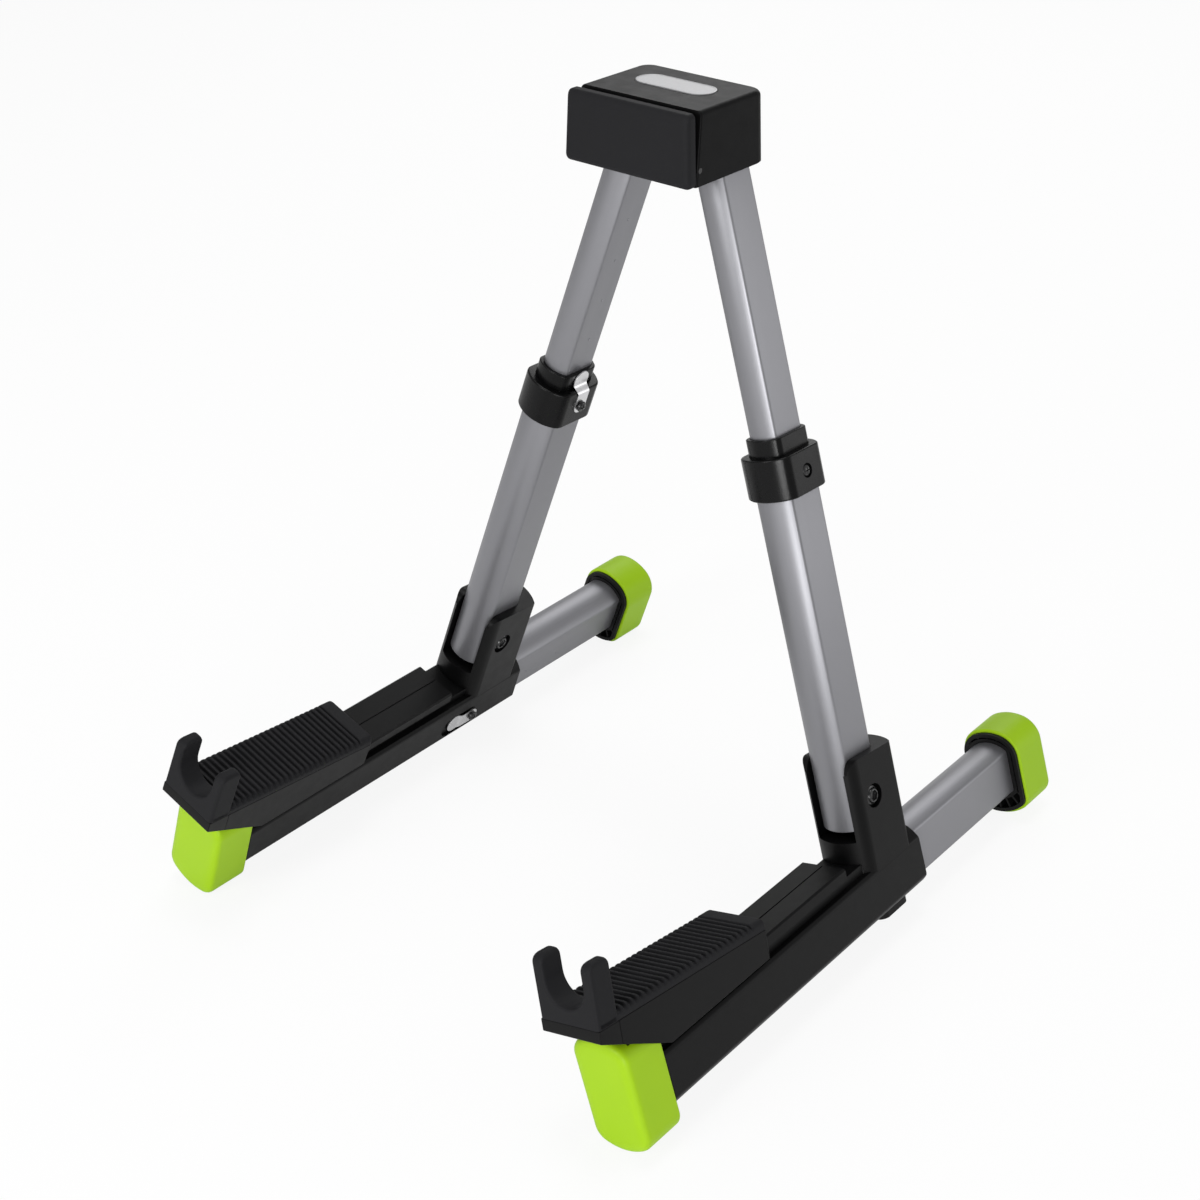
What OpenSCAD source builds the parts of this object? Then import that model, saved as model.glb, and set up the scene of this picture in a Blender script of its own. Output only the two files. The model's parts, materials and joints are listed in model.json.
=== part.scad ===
// Folding A-frame stand for a guitar: two side frames hang from one head block.
// Each side frame is a telescopic leg over a base arm that carries a cradle pad.

/* [Stance] */
// Angle of each side frame to the vertical, in degrees
splay = 18.5; // [14:0.5:22]
// Backward lean of the legs inside the side frame, in degrees
leg_lean = 2; // [0:0.5:4]
// Height of the leg hinge above the axis of the base arm
arm_drop = 45; // [43:0.5:52]
// Distance from the leg hinge to the pin in the head
leg_length = 308; // [300:1:325]

/* [Upper tube] */
// Depth of the upper tube, over its round sides
upper_depth = 23.5; // [22:0.5:24.5]
// Width of the upper tube, over its flat sides
upper_width = 15; // [14:0.5:16]
// Wall of the upper tube
upper_wall = 1.2; // [1:0.1:1.6]
// Height of the lower end of the upper tube above the leg hinge
upper_end = 108; // [100:1:125]
// Distance between two holes for the catch of the leg
leg_hole_pitch = 22; // [18:0.5:23]
// Number of holes for the catch of the leg
leg_hole_count = 5; // [2:1:5]

/* [Lower tube] */
// Depth of the lower tube, over its round sides
lower_depth = 28.5; // [28:0.5:30]
// Width of the lower tube, over its flat sides
lower_width = 20.5; // [20:0.5:21.5]
// Wall of the lower tube
lower_wall = 1.5; // [1.2:0.1:1.8]
// Length of the lower tube below the leg hinge
lower_below = 14; // [12:0.5:15]

/* [Collar] */
// Height of the lower edge of the collar above the leg hinge
collar_base = 147.5; // [140:0.5:155]
// Height of the collar
collar_height = 19.5; // [18:0.5:26]
// Wall of the collar round the lower tube
collar_wall = 3.3; // [2.6:0.1:4]
// Height of the bush that stands out of the collar
bush_height = 8; // [6:0.5:10]
// Wall of the bush round the upper tube, above the collar
bush_wall = 1.8; // [1.2:0.1:2.2]

/* [Base arm] */
// Depth of the base arm, over its round sides
arm_depth = 36; // [35.5:0.5:40]
// Width of the base arm, over its flat sides
arm_width = 30; // [29:0.5:33]
// Distance from the leg hinge to the front end of the base arm
arm_front = 185; // [180:1:195]
// Distance from the leg hinge to the rear end of the base arm
arm_rear = 25.5; // [25:0.5:30]
// Height of the shoulder beside the rail above the axis of the base arm
shoulder_height = 11.75; // [11.5:0.25:12.5]
// Width of the rail head
rail_width = 25; // [23:0.5:26]
// Height of the top of the rail above the axis of the base arm
rail_height = 22; // [21:0.5:23]
// Thickness of the rail head
rail_head = 5.5; // [4:0.25:6]
// Depth of the groove under each edge of the rail head
rail_groove = 1.7; // [1:0.1:1.9]

/* [Leg socket] */
// Depth of the socket round the foot of the leg
socket_depth = 45; // [44:0.5:46]
// Distance of the middle of the socket behind the leg hinge
socket_back = 2; // [1.5:0.25:2.5]
// Distance of the front of the socket from the leg hinge
socket_front = 17.5; // [17:0.25:19]
// Height of the socket above the leg hinge, at its front
socket_height = 20.5; // [19:0.5:25]
// Slope of the top of the socket to the leg, in degrees
socket_slope = 4; // [0:0.5:8]
// Height of the front wall of the socket below the leg hinge
front_wall_drop = 17.5; // [17:0.25:20]

/* [Hinge bolt] */
// Diameter of the barrel of the hinge bolt
barrel_d = 6; // [5:0.25:7]
// Diameter of the heads of the hinge bolt
bolt_head_d = 9.5; // [8.5:0.25:10.5]
// Height of the heads of the hinge bolt
bolt_head_h = 2.4; // [1.8:0.1:2.6]
// Depth of the recess for each head of the hinge bolt
bolt_recess = 2.6; // [2.2:0.1:2.8]

/* [Rear tube] */
// Depth of the rear tube, over its round sides
rear_depth = 30; // [29:0.5:30.5]
// Width of the rear tube, over its flat sides
rear_width = 20.5; // [19.5:0.5:21]
// Distance from the leg hinge to the rear end of the rear tube
rear_reach = 130; // [124:1:140]
// Length of the rear tube
rear_length = 165; // [158:1:170]
// Travel of the rear tube into the base arm
rear_travel = 88; // [70:1:90]
// Distance from the front end of the rear tube to its first hole
rear_catch_inset = 12; // [10:0.5:16]
// Distance between the two holes near the rear end of the rear tube
rear_hole_pitch = 26; // [20:1:30]

/* [Feet] */
// Radius of the round tread of the front foot about the axis of the base arm
tread_r = 25.7; // [24:0.1:28]
// How far the front foot stands out beside the base arm
front_foot_proud = 0.2; // [0:0.1:3]
// Depth of the step in the base arm that seats the front foot
front_foot_seat = 1.6; // [1:0.1:2]
// Length of the front foot along the base arm
front_foot_length = 22.5; // [16:0.5:24]
// Thickness of the front face of the front foot
front_foot_face = 6.5; // [3:0.5:8]
// Thickness of the rear foot beside its plug
rear_foot_wall = 1.3; // [1:0.1:3]
// Length of the rear foot along the rear tube
rear_foot_length = 24; // [20:0.5:28]
// Drop of the rear foot below the axis of the rear tube
rear_foot_drop = 2.25; // [0:0.25:2.5]
// Depth of the ribbed plug in the rear foot
plug_depth = 44; // [43:0.5:44.5]
// Width of the ribbed plug in the rear foot
plug_width = 30; // [28:0.5:31]
// Thickness of the rear foot behind the rear tube
rear_foot_face = 12; // [9:0.5:14]
// Number of radial ribs on the plug in the rear foot
plug_ribs = 22; // [12:2:30]

/* [Cradle pad] */
// Width of the cradle pad
pad_width = 32.6; // [31.5:0.2:34]
// Distance from the leg hinge to the rear end of the cradle pad
pad_rear = 93.8; // [90:0.1:100]
// Length of the cradle pad along its slope
pad_length = 108; // [104:0.5:110]
// Slope of the cradle pad, rising to the front, in degrees
pad_slope = 7.5; // [5:0.5:8]
// Thickness of the rubber on the cradle pad
pad_thick = 4.9; // [4.6:0.1:8]
// Height of the rear end of the carriage above the top of the rail
carriage_rise = 5.6; // [5:0.2:7]
// Height of the front face of the carriage
carriage_nose = 5.5; // [4:0.25:7]
// Slope of the underside of the carriage over the front foot, in degrees
carriage_rake = 30.5; // [29:0.5:32]
// Gap between the carriage and the shoulder of the base arm
carriage_gap = 2.4; // [0.5:0.1:2.5]
// Travel of the cradle pad towards the leg
pad_travel = 60; // [50:1:62]
// Distance between two ribs on the cradle pad
rib_pitch = 3.45; // [3:0.05:5]
// Width of one rib on the cradle pad
rib_width = 1.9; // [1.5:0.1:2.6]
// Depth of the grooves between the ribs
rib_depth = 1.2; // [0.6:0.1:1.6]
// Length of the smooth rear end of the rubber
rib_end = 7.5; // [4:0.5:14]
// Height of the smooth skirt below the ribs
rib_skirt = 2.6; // [1:0.1:3.5]
// Thickness of the fork at the front of the cradle pad
fork_thick = 12; // [9:0.5:14]
// Height of the fork above the carriage
fork_height = 28; // [24:0.5:32]
// Width of the gap between the two fingers of the fork
fork_gap = 21; // [19:0.5:23]
// Height of the lowest point of the gap above the carriage
fork_floor = 7; // [6.6:0.2:10]

/* [Head] */
// Distance of each leg pin from the middle of the head
head_pin_x = 18.3; // [18:0.1:22]
// Wall of the head beside the legs
head_side_wall = 2.5; // [1.5:0.1:3.5]
// Height of the head
head_height = 31; // [30:0.5:36]
// Height of the leg pins above the lower edge of the head
head_pin_height = 14; // [12:0.5:15]
// Distance from the leg pins to the rear face of the head
head_back = 18.3; // [15:0.1:20]
// Distance from the leg pins to the back of the tilting pad, at rest
head_split = 31.9; // [29:0.1:33]
// Backward slope of the front of the housing, in degrees
head_relief = 7; // [4:0.5:9]
// Inward slope of the sides of the head, measured at its top
head_taper = 1.2; // [0.5:0.1:2]
// Thickness of the tilting pad
head_pad_thick = 5.8; // [5:0.2:8]
// Height of the pin of the tilting pad above the lower edge of the head
pad_pin_height = 6.8; // [6:0.2:8]
// Length of the badge on top of the head
badge_length = 40; // [30:1:44]
// Width of the badge on top of the head
badge_width = 15; // [10:0.5:18]

/* [Catches and screws] */
// Width of the strip of each catch
catch_width = 8; // [6.5:0.25:8.5]
// Diameter of the round tab of each catch
catch_tab_d = 10; // [9:0.25:10.5]
// Thickness of the sheet of each catch
catch_sheet = 0.6; // [0.5:0.1:0.8]
// Distance from the screw of each catch to its pin
catch_reach = 12.5; // [12:0.25:13]
// Diameter of the pin of each catch
catch_pin_d = 1.2; // [1:0.1:1.6]
// Diameter of the head of the small screws
small_head_d = 5.5; // [4.5:0.25:5.75]
// Diameter of the shank of the small screws
small_shank_d = 2.9; // [2.5:0.1:3]
// Diameter of the pins that carry the legs in the head
leg_pin_d = 5; // [4:0.25:6]

/* [Fits] */
// Radial clearance of a part that turns on a pin
running_fit = 0.05; // [0.02:0.01:0.09]
// Gap between a part that slides and its guide
sliding_gap = 0.3; // [0.3:0.05:0.5]
// Gap between two parts that are pressed together
press_gap = 0.02; // [0.01:0.01:0.05]
// Gap of a part that swings past a wall
swing_gap = 0.4; // [0.3:0.05:0.5]
// Lift of each catch below the head of its screw
catch_lift = 0.6; // [0.5:0.05:0.8]
// Gap round the pin of each catch at its hole in a tube
catch_hole_gap = 0.15; // [0.1:0.05:0.3]
// Gap round the pin of each catch where it passes a moulding and swings
catch_swing_gap = 0.6; // [0.5:0.05:0.8]

/* [Hidden] */
$fn = 96;

// Cut that runs well past any surface
far = 400;
// Overshoot of a cut past the face that it opens
over = 1;
hull_fn = 32;
// Steps round the corners and round sides of the feet and their plugs
corner_steps = 8;
crown_steps = 14;
top_steps = 4;
tread_steps = 10;
// How far the faceted end of a foot laps over its straight part
foot_lap = 0.3;
// Thickness of the slices that a rounded end is drawn through
slice = 0.02;
// How far the circle of a corner laps over the round side that it meets
corner_lap = 0.01;
screw_head_h = 1.5;
screw_sink = 1.4;
screw_tip = 0.5;
cross_depth = 0.9;
cross_width = 0.8;
hex_d = 4.6;
hex_depth = 1.4;

// Colours of the real pieces
silver = [0.58, 0.58, 0.61];
steel = [0.8, 0.8, 0.82];
black = [0.1, 0.1, 0.1];
charcoal = [0.17, 0.17, 0.18];
lime = [0.63, 0.88, 0.08];

// Corners of the tubes and mouldings
upper_corner = 1.6;
lower_corner = 2;
arm_corner = 3;
foot_corner = 8;
foot_crown = 13;
plug_corner = 5;

// Place of the leg hinges and of the leg pins in the head
hinge_z = tread_r + arm_drop * cos(splay);
front_reach = pad_rear + pad_length * cos(pad_slope) + carriage_nose * sin(pad_slope);
foot_back_reach = rear_reach + rear_foot_face;
hinge_y = (front_reach - foot_back_reach) / 2;
leg_rise = leg_length * cos(leg_lean);
hinge_x = head_pin_x + leg_rise * sin(splay);
pin_y = hinge_y + leg_length * sin(leg_lean);
pin_z = hinge_z + leg_rise * cos(splay);

// Leg
collar_top = collar_base + collar_height;
bush_top = collar_top + bush_height;
lower_top = collar_top - 2.5;
upper_top = leg_length + 10;
knuckle_length = 24;
leg_catch_z = collar_top + 4;
guide_length = 14;
guide_flange = 2;
leg_travel = (leg_hole_count - 1) * leg_hole_pitch;
plug_rise = upper_end - guide_flange - leg_travel - 2;
bush_skirt = 16;
collar_notch = 2;
catch_bend = 4.5;
catch_tab_start = 2.5;
collar_depth = lower_depth + 2 * collar_wall;
collar_width = lower_width + 2 * collar_wall;
bush_depth = upper_depth + 2 * (sliding_gap + bush_wall);
bush_width = upper_width + 2 * (sliding_gap + bush_wall);

// Base arm
shoulder_z = shoulder_height - arm_drop;
rail_top = rail_height - arm_drop;
rail_under = rail_top - rail_head;
rail_stem = rail_width - 2 * rail_groove;
rail_end = pad_rear - pad_travel - 4.5;
rail_chamfer = 1.2;
rail_mark = 0.8;
bore_depth = rear_depth + 2 * sliding_gap;
bore_width = rear_width + 2 * sliding_gap;
pocket_width = lower_width + 2 * sliding_gap;
socket_inset = 0.15;
socket_width = arm_width - 2 * socket_inset;
swing_r = norm([lower_depth / 2, lower_below]) + swing_gap;
arm_catch_y = rear_reach - rear_length + rear_catch_inset;
arm_catch_z = -arm_drop - 3;
arm_catch_recess = 1.5;
ear_round = 6;
bumper_y = 11;
bumper_length = 22;
bumper_width = 9;
bumper_drop = 5;

// Rear foot
rear_axis_z = -arm_drop;
rear_foot_z = rear_axis_z - rear_foot_drop;
rear_tread_r = tread_r - rear_foot_drop * cos(splay);
rear_foot_end = rear_reach + rear_foot_face;
rear_foot_start = rear_foot_end - rear_foot_length;
plug_start = rear_foot_start - 2;
rear_foot_width = plug_width + 2 * rear_foot_wall;
plug_crown = foot_crown - rear_foot_wall;
plug_end = rear_reach + 4;
plug_rim = 2;
plug_socket_wall = 2;
plug_floor = 7;
plug_rib_inset = 0.6;
plug_rib_thick = 1;
rear_wall = 1.5;
rear_hole_ys = [arm_catch_y, arm_catch_y + rear_travel - rear_hole_pitch, arm_catch_y + rear_travel];

// Front foot
front_foot_end = arm_front + front_foot_face;
front_foot_start = front_foot_end - front_foot_length;
front_foot_width = arm_width + 2 * front_foot_proud;
foot_round = 5;

// Cradle pad
carriage_top = rail_top + carriage_rise;
carriage_base = shoulder_z + carriage_gap;
nose_y = -front_reach;
nose_z = carriage_top + pad_length * sin(pad_slope) - carriage_nose * cos(pad_slope);
channel_width = rail_width + 2 * sliding_gap;
hook_gap = rail_stem + 2 * sliding_gap;
pad_round = 2.8;
rib_count = floor((pad_length - fork_thick - rib_end) / rib_pitch);

// Head
leg_stop_gap = 0.15;
leg_stop_x = head_pin_x + head_pin_height * tan(splay) + upper_width / 2 / cos(splay) + leg_stop_gap;
head_width = 2 * (leg_stop_x + head_side_wall);
head_base = pin_z - head_pin_height;
head_top = head_base + head_height;
head_rear = pin_y + head_back;
head_pad_back = pin_y - head_split;
head_front = head_pad_back + sliding_gap;
head_wall = 3;
cavity_front = head_front + head_wall + 3;
head_corner = 7;
head_round = 2.5;
yoke_thick = 5.5;
yoke_y = pin_y - upper_depth / 2 - 1 - yoke_thick;
yoke_height = 24;
boss_d = 7;
boss_x = 6;
pad_pin_y = head_front + 2.6;
pad_pin_z = head_base + pad_pin_height;
pad_pin_d = 2.4;
lug_x = head_width / 2 - 6.5;
lug_width = 4;
lug_r = 3;
plate_inset = 3;
plate_thick = 2.4;
badge_thick = 0.9;
badge_sink = 0.5;
badge_y = pin_y - 3.5;

// A round section with two flat sides and rounded corners
module double_d(depth, width, corner) {
    r = depth / 2;
    cx = width / 2 - corner;
    cy = sqrt(pow(r - corner + corner_lap, 2) - cx * cx);
    intersection() {
        circle(r = r);
        union() {
            polygon([[0, 0], [3 * cx, 3 * cy], [-3 * cx, 3 * cy]]);
            polygon([[0, 0], [-3 * cx, -3 * cy], [3 * cx, -3 * cy]]);
            square([width, 2 * cy], center = true);
            for (sx = [-1, 1], sy = [-1, 1]) translate([sx * cx, sy * cy]) circle(r = corner);
        }
    }
}

// Points on an arc from angle a0 up to, but not at, angle a1
function arc(x, y, r, a0, a1, steps) = [for (i = [0:steps - 1])
    let (a = a0 + (a1 - a0) * i / steps) [x + r * cos(a), y + r * sin(a)]];

// A section with flat sides whose upper corners are rounder than its lower ones
module crowned_d(depth, width, corner, crown) {
    r = depth / 2;
    low_x = width / 2 - corner;
    low_y = sqrt(pow(r - corner, 2) - low_x * low_x);
    low = atan2(low_y, low_x);
    high_x = width / 2 - crown;
    high_y = sqrt(pow(r - crown, 2) - high_x * high_x);
    high = atan2(high_y, high_x);
    polygon(concat(
        arc(low_x, -low_y, corner, -low, 0, corner_steps), [[width / 2, -low_y]],
        arc(high_x, high_y, crown, 0, high, crown_steps),
        arc(0, 0, r, high, 180 - high, top_steps),
        arc(-high_x, high_y, crown, 180 - high, 180, crown_steps), [[-width / 2, high_y]],
        arc(-low_x, -low_y, corner, 180, 180 + low, corner_steps),
        arc(0, 0, r, 180 + low, 360 - low, tread_steps)));
}

// A hollow tube section with the same wall all round
module double_d_ring(depth, width, corner, wall) {
    difference() {
        double_d(depth, width, corner);
        double_d(depth - 2 * wall, width - 2 * wall, corner - wall / 2);
    }
}

// Extrude a section along Y, from y0 to y1; the section's Y becomes Z
module along_y(y0, y1) {
    translate([0, y1, 0]) rotate([90, 0, 0]) linear_extrude(y1 - y0) children();
}

// Extrude a side profile along X, from x0 to x1; its X becomes Y, its Y becomes Z
module along_x(x0, x1) {
    translate([x0, 0, 0]) rotate([90, 0, 90]) linear_extrude(x1 - x0) children();
}

// Extrude a section along Z, from z0 to z1
module along_z(z0, z1) {
    translate([0, 0, z0]) linear_extrude(z1 - z0) children();
}

// A straight rod along X, from x0 to x1
module rod_x(d, x0, x1) {
    translate([x0, 0, 0]) rotate([0, 90, 0]) cylinder(d = d, h = x1 - x0);
}

// A straight rod along Y, from y0 to y1
module rod_y(d, y0, y1) {
    translate([0, y0, 0]) rotate([-90, 0, 0]) cylinder(d = d, h = y1 - y0);
}

// Frames: the right side frame has its origin at the leg hinge, X to the outside,
// Y to the rear along the base arm and Z up in its own plane
module on_right() {
    translate([hinge_x, hinge_y, hinge_z]) rotate([0, -splay, 0]) children();
}

module on_left() {
    mirror([1, 0, 0]) on_right() children();
}

module on_leg() {
    rotate([-leg_lean, 0, 0]) children();
}

module on_pad() {
    translate([0, -pad_rear, carriage_top]) rotate([-pad_slope, 0, 0]) children();
}

// Leg pieces
module leg_pin_bore() {
    translate([0, 0, leg_length]) rotate([leg_lean, 0, 0])
        rod_y(leg_pin_d + 2 * running_fit, -upper_depth, upper_depth);
}

module leg_knuckle() {
    color(black) on_leg() difference() {
        along_z(upper_top - knuckle_length, upper_top)
            double_d(upper_depth - 2 * (upper_wall + press_gap),
                     upper_width - 2 * (upper_wall + press_gap), upper_corner - upper_wall / 2);
        leg_pin_bore();
    }
}

module upper_tube() {
    color(silver) on_leg() difference() {
        along_z(upper_end, upper_top)
            double_d_ring(upper_depth, upper_width, upper_corner, upper_wall);
        leg_pin_bore();
        for (i = [0:leg_hole_count - 1]) translate([0, 0, leg_catch_z + i * leg_hole_pitch])
            rod_x(catch_pin_d + 2 * catch_hole_gap, -upper_width, 0);
    }
}

module upper_guide() {
    color(black) on_leg() {
        along_z(upper_end - guide_flange, upper_end)
            double_d(lower_depth - 2 * (lower_wall + sliding_gap),
                     lower_width - 2 * (lower_wall + sliding_gap), upper_corner);
        along_z(upper_end, upper_end + guide_length)
            double_d(upper_depth - 2 * (upper_wall + press_gap),
                     upper_width - 2 * (upper_wall + press_gap), upper_corner - upper_wall / 2);
    }
}

module lower_tube() {
    color(silver) on_leg() difference() {
        along_z(-lower_below, lower_top)
            double_d_ring(lower_depth, lower_width, lower_corner, lower_wall);
        rod_x(barrel_d + 2 * running_fit, -lower_width, lower_width);
        translate([0, 0, collar_base + collar_height / 2])
            rod_x(small_shank_d + 2 * press_gap, 0, lower_width);
        translate([0, 0, leg_catch_z - catch_reach])
            rod_x(small_shank_d + 2 * press_gap, -lower_width, 0);
    }
}

module collar() {
    color(black) on_leg() difference() {
        along_z(collar_base, collar_top) double_d(collar_depth, collar_width, arm_corner);
        along_z(collar_base - over, lower_top + press_gap)
            double_d(lower_depth + 2 * press_gap, lower_width + 2 * press_gap, lower_corner);
        along_z(collar_base - over, collar_top + over)
            double_d(bush_depth + 2 * press_gap, bush_width + 2 * press_gap, upper_corner + 1);
        translate([0, 0, collar_base + collar_height / 2]) {
            rod_x(small_shank_d + 2 * press_gap, 0, collar_width);
            rod_x(small_head_d + 1, collar_width / 2 - screw_sink, collar_width);
        }
        translate([0, 0, leg_catch_z - catch_reach])
            rod_x(small_shank_d + 2 * press_gap, -collar_width, 0);
        translate([-collar_width, -catch_width / 2 - swing_gap, collar_top - collar_notch])
            cube([collar_width, catch_width + 2 * swing_gap, far]);
    }
}

module collar_bush() {
    color(black) on_leg() difference() {
        union() {
            along_z(lower_top + press_gap, bush_top)
                double_d(bush_depth, bush_width, upper_corner + 1);
            along_z(lower_top - bush_skirt, lower_top + press_gap)
                double_d(lower_depth - 2 * (lower_wall + press_gap),
                         lower_width - 2 * (lower_wall + press_gap), upper_corner);
        }
        along_z(lower_top - bush_skirt - over, bush_top + over)
            double_d(upper_depth + 2 * sliding_gap, upper_width + 2 * sliding_gap,
                     upper_corner);
        translate([0, 0, leg_catch_z]) rod_x(catch_pin_d + 2 * catch_swing_gap, -collar_width, 0);
        translate([0, 0, collar_base + collar_height / 2])
            rod_x(small_shank_d + 2 * press_gap, 0, collar_width);
        translate([0, 0, leg_catch_z - catch_reach])
            rod_x(small_shank_d + 2 * press_gap, -collar_width, 0);
    }
}

// A small pan-head screw along X: the seat of its head is at x = 0, its tip at x = -reach
module small_screw(reach) {
    dome_r = small_head_d * 0.8;
    difference() {
        union() {
            rotate([0, 90, 0]) rotate_extrude() intersection() {
                translate([0, screw_head_h - dome_r]) circle(r = dome_r);
                square([small_head_d / 2, screw_head_h]);
            }
            rod_x(small_shank_d, -reach, 0);
        }
        for (a = [0, 90]) rotate([a, 0, 0])
            translate([screw_head_h - cross_depth, -small_head_d * 0.3, -cross_width / 2])
                cube([screw_head_h, small_head_d * 0.6, cross_width]);
    }
}

module collar_screw() {
    color(black) on_leg()
        translate([collar_width / 2 - screw_sink, 0, collar_base + collar_height / 2])
            small_screw(collar_wall - screw_sink + lower_wall + screw_tip);
}

// A leaf catch: the inner face of its foot is the plane x = 0, its screw is at the
// origin, and its tab and pin are catch_reach up the Z axis, stepped in towards +X
module catch_leaf(step, pin_reach) {
    bend = catch_reach - catch_bend;
    tab = catch_reach - catch_tab_start;
    difference() {
        union() {
            translate([-catch_sheet, 0, 0]) rotate([0, 90, 0])
                cylinder(d = catch_width, h = catch_sheet);
            translate([0, catch_width / 2, 0]) rotate([90, 0, 0]) linear_extrude(catch_width)
                polygon([[-catch_sheet, 0], [-catch_sheet, bend], [step - catch_sheet, tab],
                         [step, tab - catch_sheet / 2], [0, bend - catch_sheet / 2], [0, 0]]);
            intersection() {
                translate([step - catch_sheet, 0, catch_reach]) rotate([0, 90, 0])
                    cylinder(d = catch_tab_d, h = catch_sheet);
                translate([-far / 2, -far / 2, tab - catch_sheet / 2]) cube(far);
            }
            translate([0, 0, catch_reach]) rod_x(catch_pin_d, step - catch_sheet / 2, pin_reach);
        }
        rod_x(small_shank_d + 0.6, -2, 2);
    }
}

module collar_catch() {
    step = (collar_width - bush_width) / 2 - sliding_gap;
    color(steel) on_leg() translate([-collar_width / 2, 0, leg_catch_z - catch_reach])
        catch_leaf(step, (collar_width - upper_width) / 2 - sliding_gap);
}

module collar_catch_screw() {
    color(black) on_leg()
        translate([-collar_width / 2 - catch_sheet - catch_lift, 0, leg_catch_z - catch_reach])
            mirror([1, 0, 0]) small_screw(catch_sheet + catch_lift + collar_wall + lower_wall + screw_tip);
}

module hinge_plug() {
    color(black) on_leg() difference() {
        along_z(-lower_below, plug_rise)
            double_d(lower_depth - 2 * (lower_wall + press_gap),
                     lower_width - 2 * (lower_wall + press_gap), lower_corner - lower_wall / 2);
        rod_x(barrel_d + 2 * running_fit, -lower_width, lower_width);
    }
}

// Base arm
module arm_section(inset) {
    translate([0, -arm_drop]) double_d(arm_depth - 2 * inset, arm_width - 2 * inset, arm_corner);
}

// The base arm below its shoulder, from y0 to y1
module arm_below_shoulder(y0, y1, inset) {
    along_y(y0, y1) intersection() {
        arm_section(inset);
        translate([-far / 2, shoulder_z - far]) square(far);
    }
}

module rail_section() {
    translate([-rail_stem / 2, shoulder_z - 2]) square([rail_stem, rail_under - shoulder_z + 3]);
    difference() {
        translate([-rail_width / 2, rail_under]) square([rail_width, rail_head]);
        for (s = [-1, 1]) translate([s * rail_width / 2, rail_top]) rotate(45)
            square(rail_chamfer, center = true);
        translate([-rail_mark / 2, rail_top - rail_mark / 2]) square([rail_mark, over]);
    }
}

module socket_section() {
    intersection() {
        translate([0, socket_back]) double_d(socket_depth, socket_width, arm_corner);
        translate([-far / 2, 0]) square(far);
    }
    intersection() {
        translate([0, socket_back])
            double_d(2 * (socket_front + socket_back), socket_width, foot_corner);
        translate([-far / 2, -far]) square(far);
    }
}

module socket_tower() {
    ear_front = socket_front - 3;
    intersection() {
        on_leg() along_z(-arm_drop, far / 4) socket_section();
        on_leg() rotate([-socket_slope, 0, 0]) along_x(-arm_width, arm_width) {
            translate([-far / 2, -far]) square([far, far + socket_height - ear_round]);
            translate([-ear_front + ear_round, -far]) square([far, far + socket_height]);
            translate([-ear_front + ear_round, socket_height - ear_round]) circle(r = ear_round);
        }
    }
}

module base_arm() {
    color(black) difference() {
        union() {
            arm_below_shoulder(-arm_front, arm_rear, front_foot_seat);
            arm_below_shoulder(-front_foot_start + press_gap, arm_rear, 0);
            along_y(-socket_front + 6, arm_rear) arm_section(0);
            along_y(-arm_front, -rail_end) rail_section();
            along_y(-rail_end - over, 0) translate([-rail_stem / 2, shoulder_z - 2])
                square([rail_stem, rail_under - shoulder_z + 2]);
            socket_tower();
        }
        // Bore for the rear tube
        along_y(-arm_front - over, arm_rear + over) translate([0, -arm_drop])
            double_d(bore_depth, bore_width, lower_corner);
        // Pocket for the leg, open to the front above the front wall
        on_leg() along_z(-lower_below - 1, far / 4)
            double_d(lower_depth + 2 * sliding_gap, pocket_width, lower_corner);
        translate([-pocket_width / 2, -far / 4, -front_wall_drop])
            cube([pocket_width, far / 4, far / 4]);
        rod_x(2 * swing_r, -pocket_width / 2, pocket_width / 2);
        // Hinge bolt
        rod_x(barrel_d + 2 * press_gap, -arm_width, arm_width);
        rod_x(bolt_head_d + 2, arm_width / 2 - bolt_recess, arm_width);
        rod_x(bolt_head_d + 2, -arm_width, -arm_width / 2 + bolt_recess);
        // Recess of the catch, its screw and its pin
        translate([-arm_width / 2, arm_catch_y, arm_catch_z]) {
            difference() {
                along_x(-over, arm_catch_recess) translate([catch_reach / 2 - 3, 0])
                    capsule(catch_reach + 14, catch_tab_d + 2);
                translate([0, catch_reach, 0]) rod_x(catch_width + 1, 0, arm_width / 2);
            }
            rod_x(catch_pin_d + 2 * catch_swing_gap, -over, arm_width / 2);
            translate([0, catch_reach, 0]) rod_x(small_shank_d + 2 * press_gap, -over, arm_width / 2);
        }
        // Slot of the bumper under the arm
        translate([0, 0, -arm_drop - arm_depth]) along_z(0, arm_depth)
            translate([0, bumper_y]) bumper_outline(press_gap);
    }
}

module bumper_outline(extra) {
    run = bumper_length - bumper_width;
    square([bumper_width + 2 * extra, run], center = true);
    for (s = [-1, 1]) translate([0, s * run / 2]) circle(d = bumper_width + 2 * extra);
}

module arm_bumper() {
    color(black) difference() {
        along_z(-arm_drop - arm_depth / 2 - bumper_drop, -arm_drop - bore_depth / 2 + 1)
            translate([0, bumper_y]) bumper_outline(0);
        along_y(-arm_front, arm_rear + over) translate([0, -arm_drop])
            double_d(bore_depth, bore_width, lower_corner);
    }
}

module hinge_barrel() {
    tip = arm_width / 2 - bolt_recess;
    color(black) difference() {
        union() {
            rod_x(barrel_d, -tip, tip);
            rod_x(bolt_head_d, -tip - bolt_head_h, -tip);
        }
        rod_x(barrel_d - 2, -tip + 2, tip + over);
        translate([-tip - bolt_head_h - over, 0, 0]) rotate([0, 90, 0])
            cylinder(d = hex_d, h = over + hex_depth, $fn = 6);
    }
}

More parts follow.
